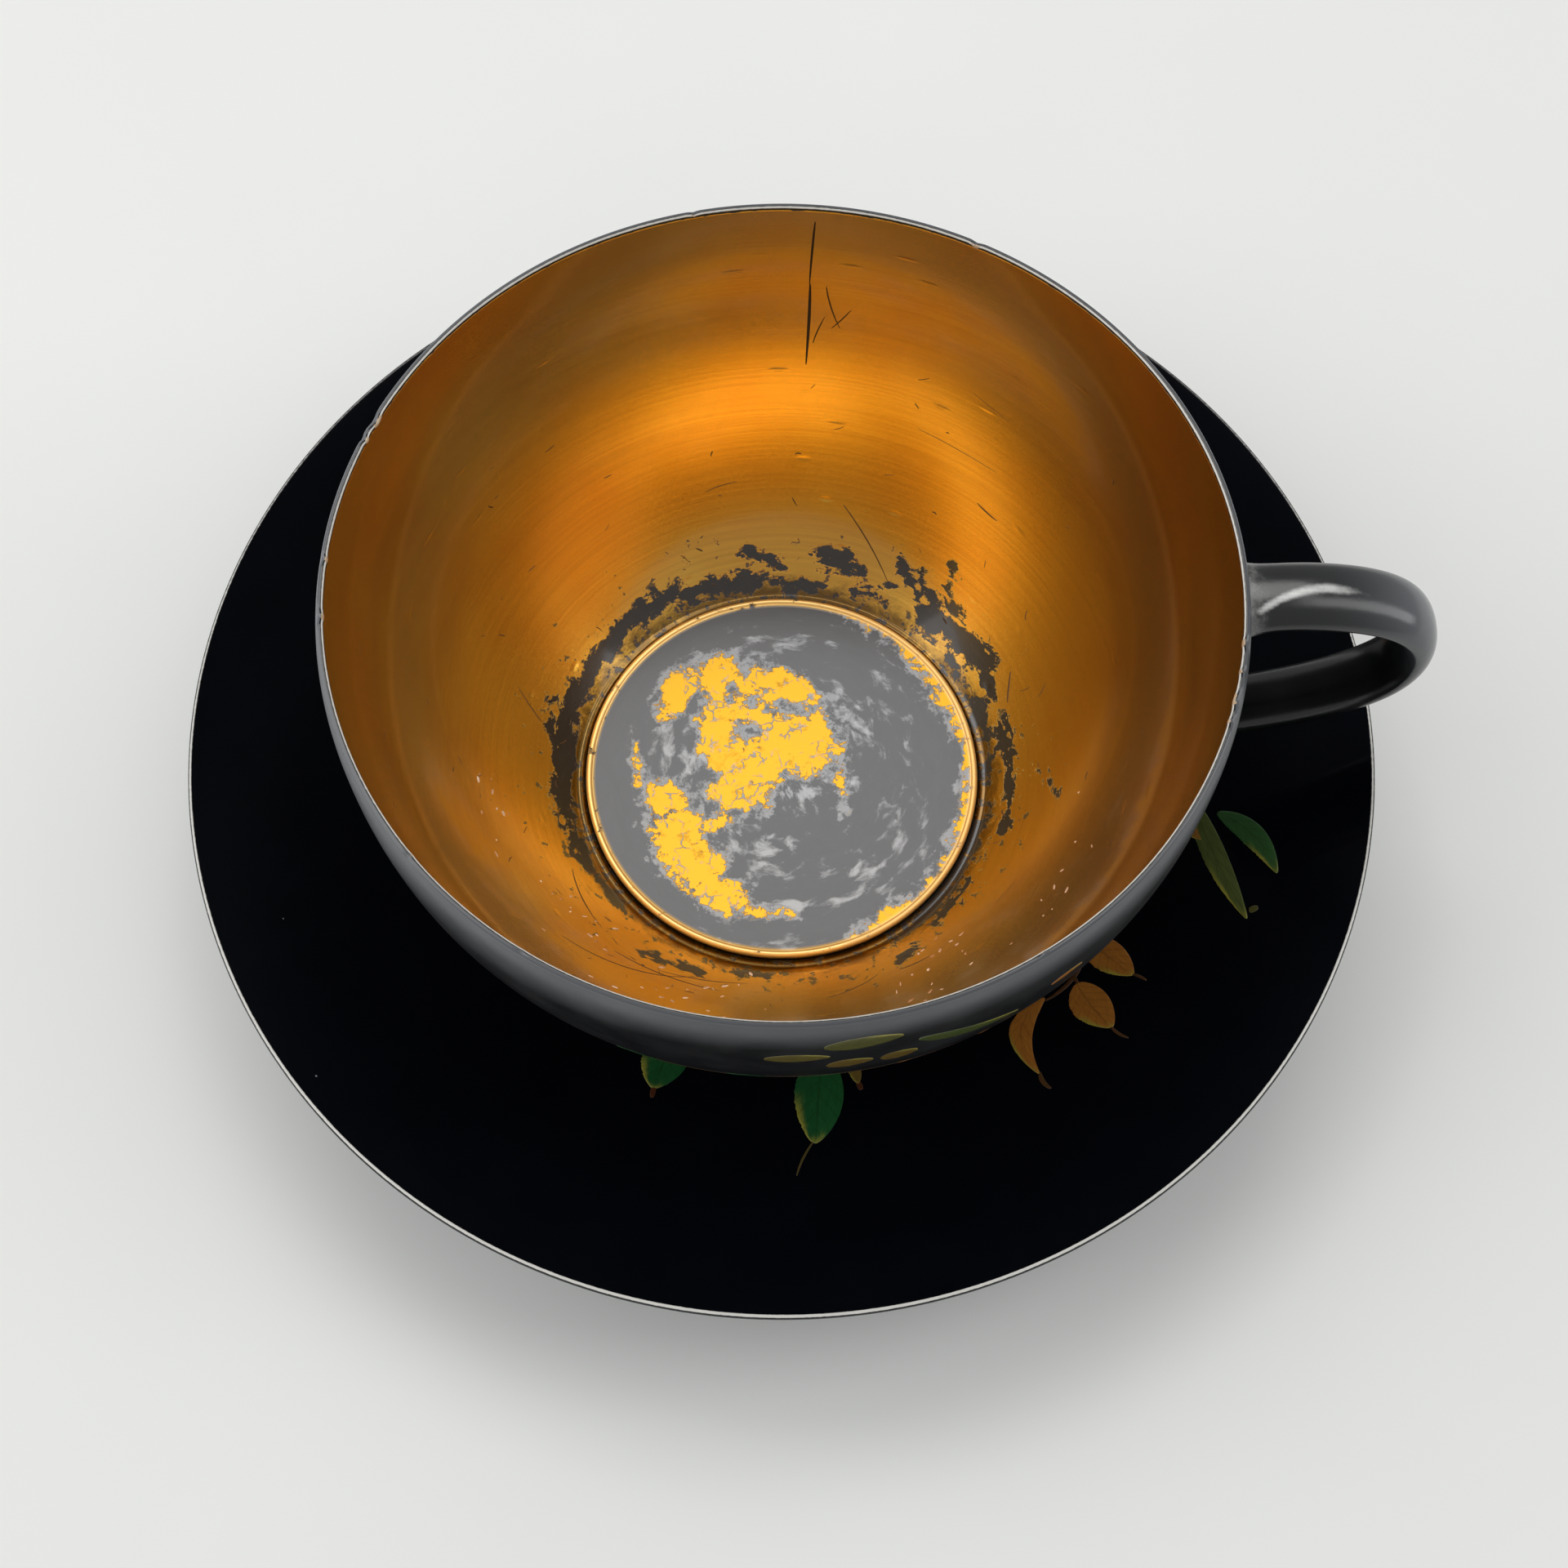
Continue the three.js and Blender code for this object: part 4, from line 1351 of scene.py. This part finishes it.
def handle_black():
    finish, tree, place = start_finish("rubbed_handle_lacquer")
    rubbed = stored(tree, "rubbed")
    wear = noise(tree, place, scale=per(1.1), detail=6.0, roughness=0.72)
    cloud = noise(tree, place, scale=per(5), detail=4.0)
    grey = maths(tree, "MULTIPLY", rubbed, wear)
    shown = smooth(tree, grey, start=0.18, end=0.6, top=0.7)
    # A painted reflection: grey round the furthest bend, most on the outer side.
    painted_bend_reflection = stored(tree, "painted_bend_reflection")
    bend_reflected = blend(tree, painted_bend_reflection, "#0A0B0D", "#56585C")
    wear_and_painted_reflection = blend(tree, shown, bend_reflected, "#8C8C8A")
    # A painted highlight: a pale streak along the top of the handle.
    top_highlight = stored(tree, "top_highlight")
    top_highlight_cut = plus(tree, top_highlight, wear, times=0.6)
    top_highlight_mask = smooth(tree, top_highlight_cut, start=0.5, end=1.4, top=0.7)
    base = blend(tree, top_highlight_mask, wear_and_painted_reflection, "#E4E4E2")
    rough = ramp(tree, cloud, start=0.3, end=0.7, low=0.16, high=0.24)
    duller = plus(tree, rough, shown, times=0.2)
    relief = bump(tree, wear, strength=0.35, depth=0.05)
    return end_finish(finish, {"IOR": 1.62, "Base Color": base, "Roughness": duller, "Normal": relief})


# Painted glints: pale pink to white, where light catches small dents in the gold.
def painted_dent_glint():
    finish, tree, place = start_finish("painted_dent_glints")
    tone = stored(tree, "tone")
    mottle = noise(tree, place, scale=per(0.3), detail=3.0)
    paler = maths(tree, "ADD", mottle, tone)
    base = blend(tree, ramp(tree, paler, start=0.5, end=1.5), "#B87840", "#FFE2CC")
    return end_finish(finish, {"Roughness": 0.25, "Base Color": base})


ground_finish = bare_ground()
dent_glint_finish = painted_dent_glint()
bamboo_finish = split_bamboo()
handle_finish = handle_black()

# %% [markdown]
# ## Dressing the pieces
# Each smooth piece stands in for the frame's node of the same part, rides on the body that the node
# belongs to, and gets its finish.

# %% Dress and ride
def dress(piece, finish, body, slot, node):
    piece.data.materials.append(finish)
    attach(piece, body)
    if node:
        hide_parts(node)


# Piece, finish, body, slot, and the frame's node that it replaces, if there is one.
DRESSED = [
    (saucer_plate, polished_black, "saucer", "black_lacquer", "saucer_plate"),
    (saucer_foot, polished_black, "saucer", "black_lacquer", "saucer_foot_ring"),
    (saucer_leaves, leaf_finish, "saucer", "black_lacquer", None),
    (saucer_stems, stem_finish, "saucer", "black_lacquer", None),
    (cup_body, handled_black, "cup", "black_lacquer", "cup_body"),
    (cup_foot, handled_black, "cup", "black_lacquer", "cup_foot_ring"),
    (cup_leaves, leaf_finish, "cup", "black_lacquer", None),
    (cup_stems, stem_finish, "cup", "black_lacquer", None),
    (floor_disc, floor_finish, "cup", "floor_lacquer", "cup_floor_disc"),
    (lining, gold_finish, "cup", "gold_lacquer", "gold_lining"),
    (scratches, ground_finish, "cup", "gold_lacquer", None),
    (dent_glints, dent_glint_finish, "cup", "gold_lacquer", None),
    (handle, handle_finish, "cup", "black_lacquer", "handle"),
]
for row in DRESSED:
    dress(*row)

for dowel in ("handle_upper_dowel", "handle_lower_dowel"):
    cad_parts[dowel].data.materials.clear()
    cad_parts[dowel].data.materials.append(bamboo_finish)

# %% [markdown]
# ## Table and light
# Black gloss shows whatever stands round it, so the light is made of a few large soft shapes. A pale
# table fills the view. A broad soft light hangs over the cup, a little behind it, and is what the floor
# of the cup mirrors. Two more stand at its sides, and an even grey-white sky fills the shadows.

# %% Table
table_half = 1.5
table_mesh = bpy.data.meshes.new("table")
table_mesh.from_pydata(
    [(x * table_half, y * table_half, 0) for x, y in ((-1, -1), (1, -1), (1, 1), (-1, 1))],
    [],
    [(0, 1, 2, 3)],
)
table = bpy.data.objects.new("table", table_mesh)
bpy.context.scene.collection.objects.link(table)
table_finish, table_tree, table_place = start_finish("matte_tabletop")
table_cloud = noise(table_tree, table_place, scale=per(90), detail=4.0)
table_tone = blend(table_tree, table_cloud, "#E4E5E3", "#EBECEA")
table_mesh.materials.append(end_finish(table_finish, {
    "Base Color": table_tone, "Roughness": 0.6, "Specular IOR Level": 0.3,
}))

# %% Lights
lights_aim_mm = (0, 0, 20)


def soft_light(name, size_mm, position_mm, watts, tint):
    """A rectangular soft light that hangs at a position and faces the cup."""
    lamp = bpy.data.lights.new(name, "AREA")
    lamp.shape = "RECTANGLE"
    lamp.size, lamp.size_y = (side * MM for side in size_mm)
    lamp.energy = watts
    lamp.color = colour(tint)[:3]
    holder = bpy.data.objects.new(name, lamp)
    away = np.array(position_mm, float) - np.array(lights_aim_mm, float)
    away /= np.linalg.norm(away)
    side = np.cross([0, 1.0, 0.01], away)
    side /= np.linalg.norm(side)
    turn = Matrix((side, np.cross(away, side), away)).transposed().to_4x4()
    holder.matrix_world = Matrix.Translation(np.array(position_mm) * MM) @ turn
    bpy.context.scene.collection.objects.link(holder)


# Name, size, position, watts and tint. All of them face the middle of the cup.
SOFT_LIGHTS = [
    ("overhead_softbox", (620, 380), (-90, 331, 799), 2.1, "#FFFEFB"),
    ("left_softbox", (1500, 760), (-800, 0, 440), 5.0, "#FFFFFF"),
    ("right_softbox", (1270, 310), (640, 0, 650), 2.4, "#FFFFFF"),
]
for row in SOFT_LIGHTS:
    soft_light(*row)

sky_strength = 0.45
world = bpy.data.worlds.new("studio")
world.use_nodes = True
background = world.node_tree.nodes["Background"]
background.inputs["Color"].default_value = colour("#FBFCFC")
background.inputs["Strength"].default_value = sky_strength
bpy.context.scene.world = world
bpy.context.scene.view_settings.view_transform = "Standard"
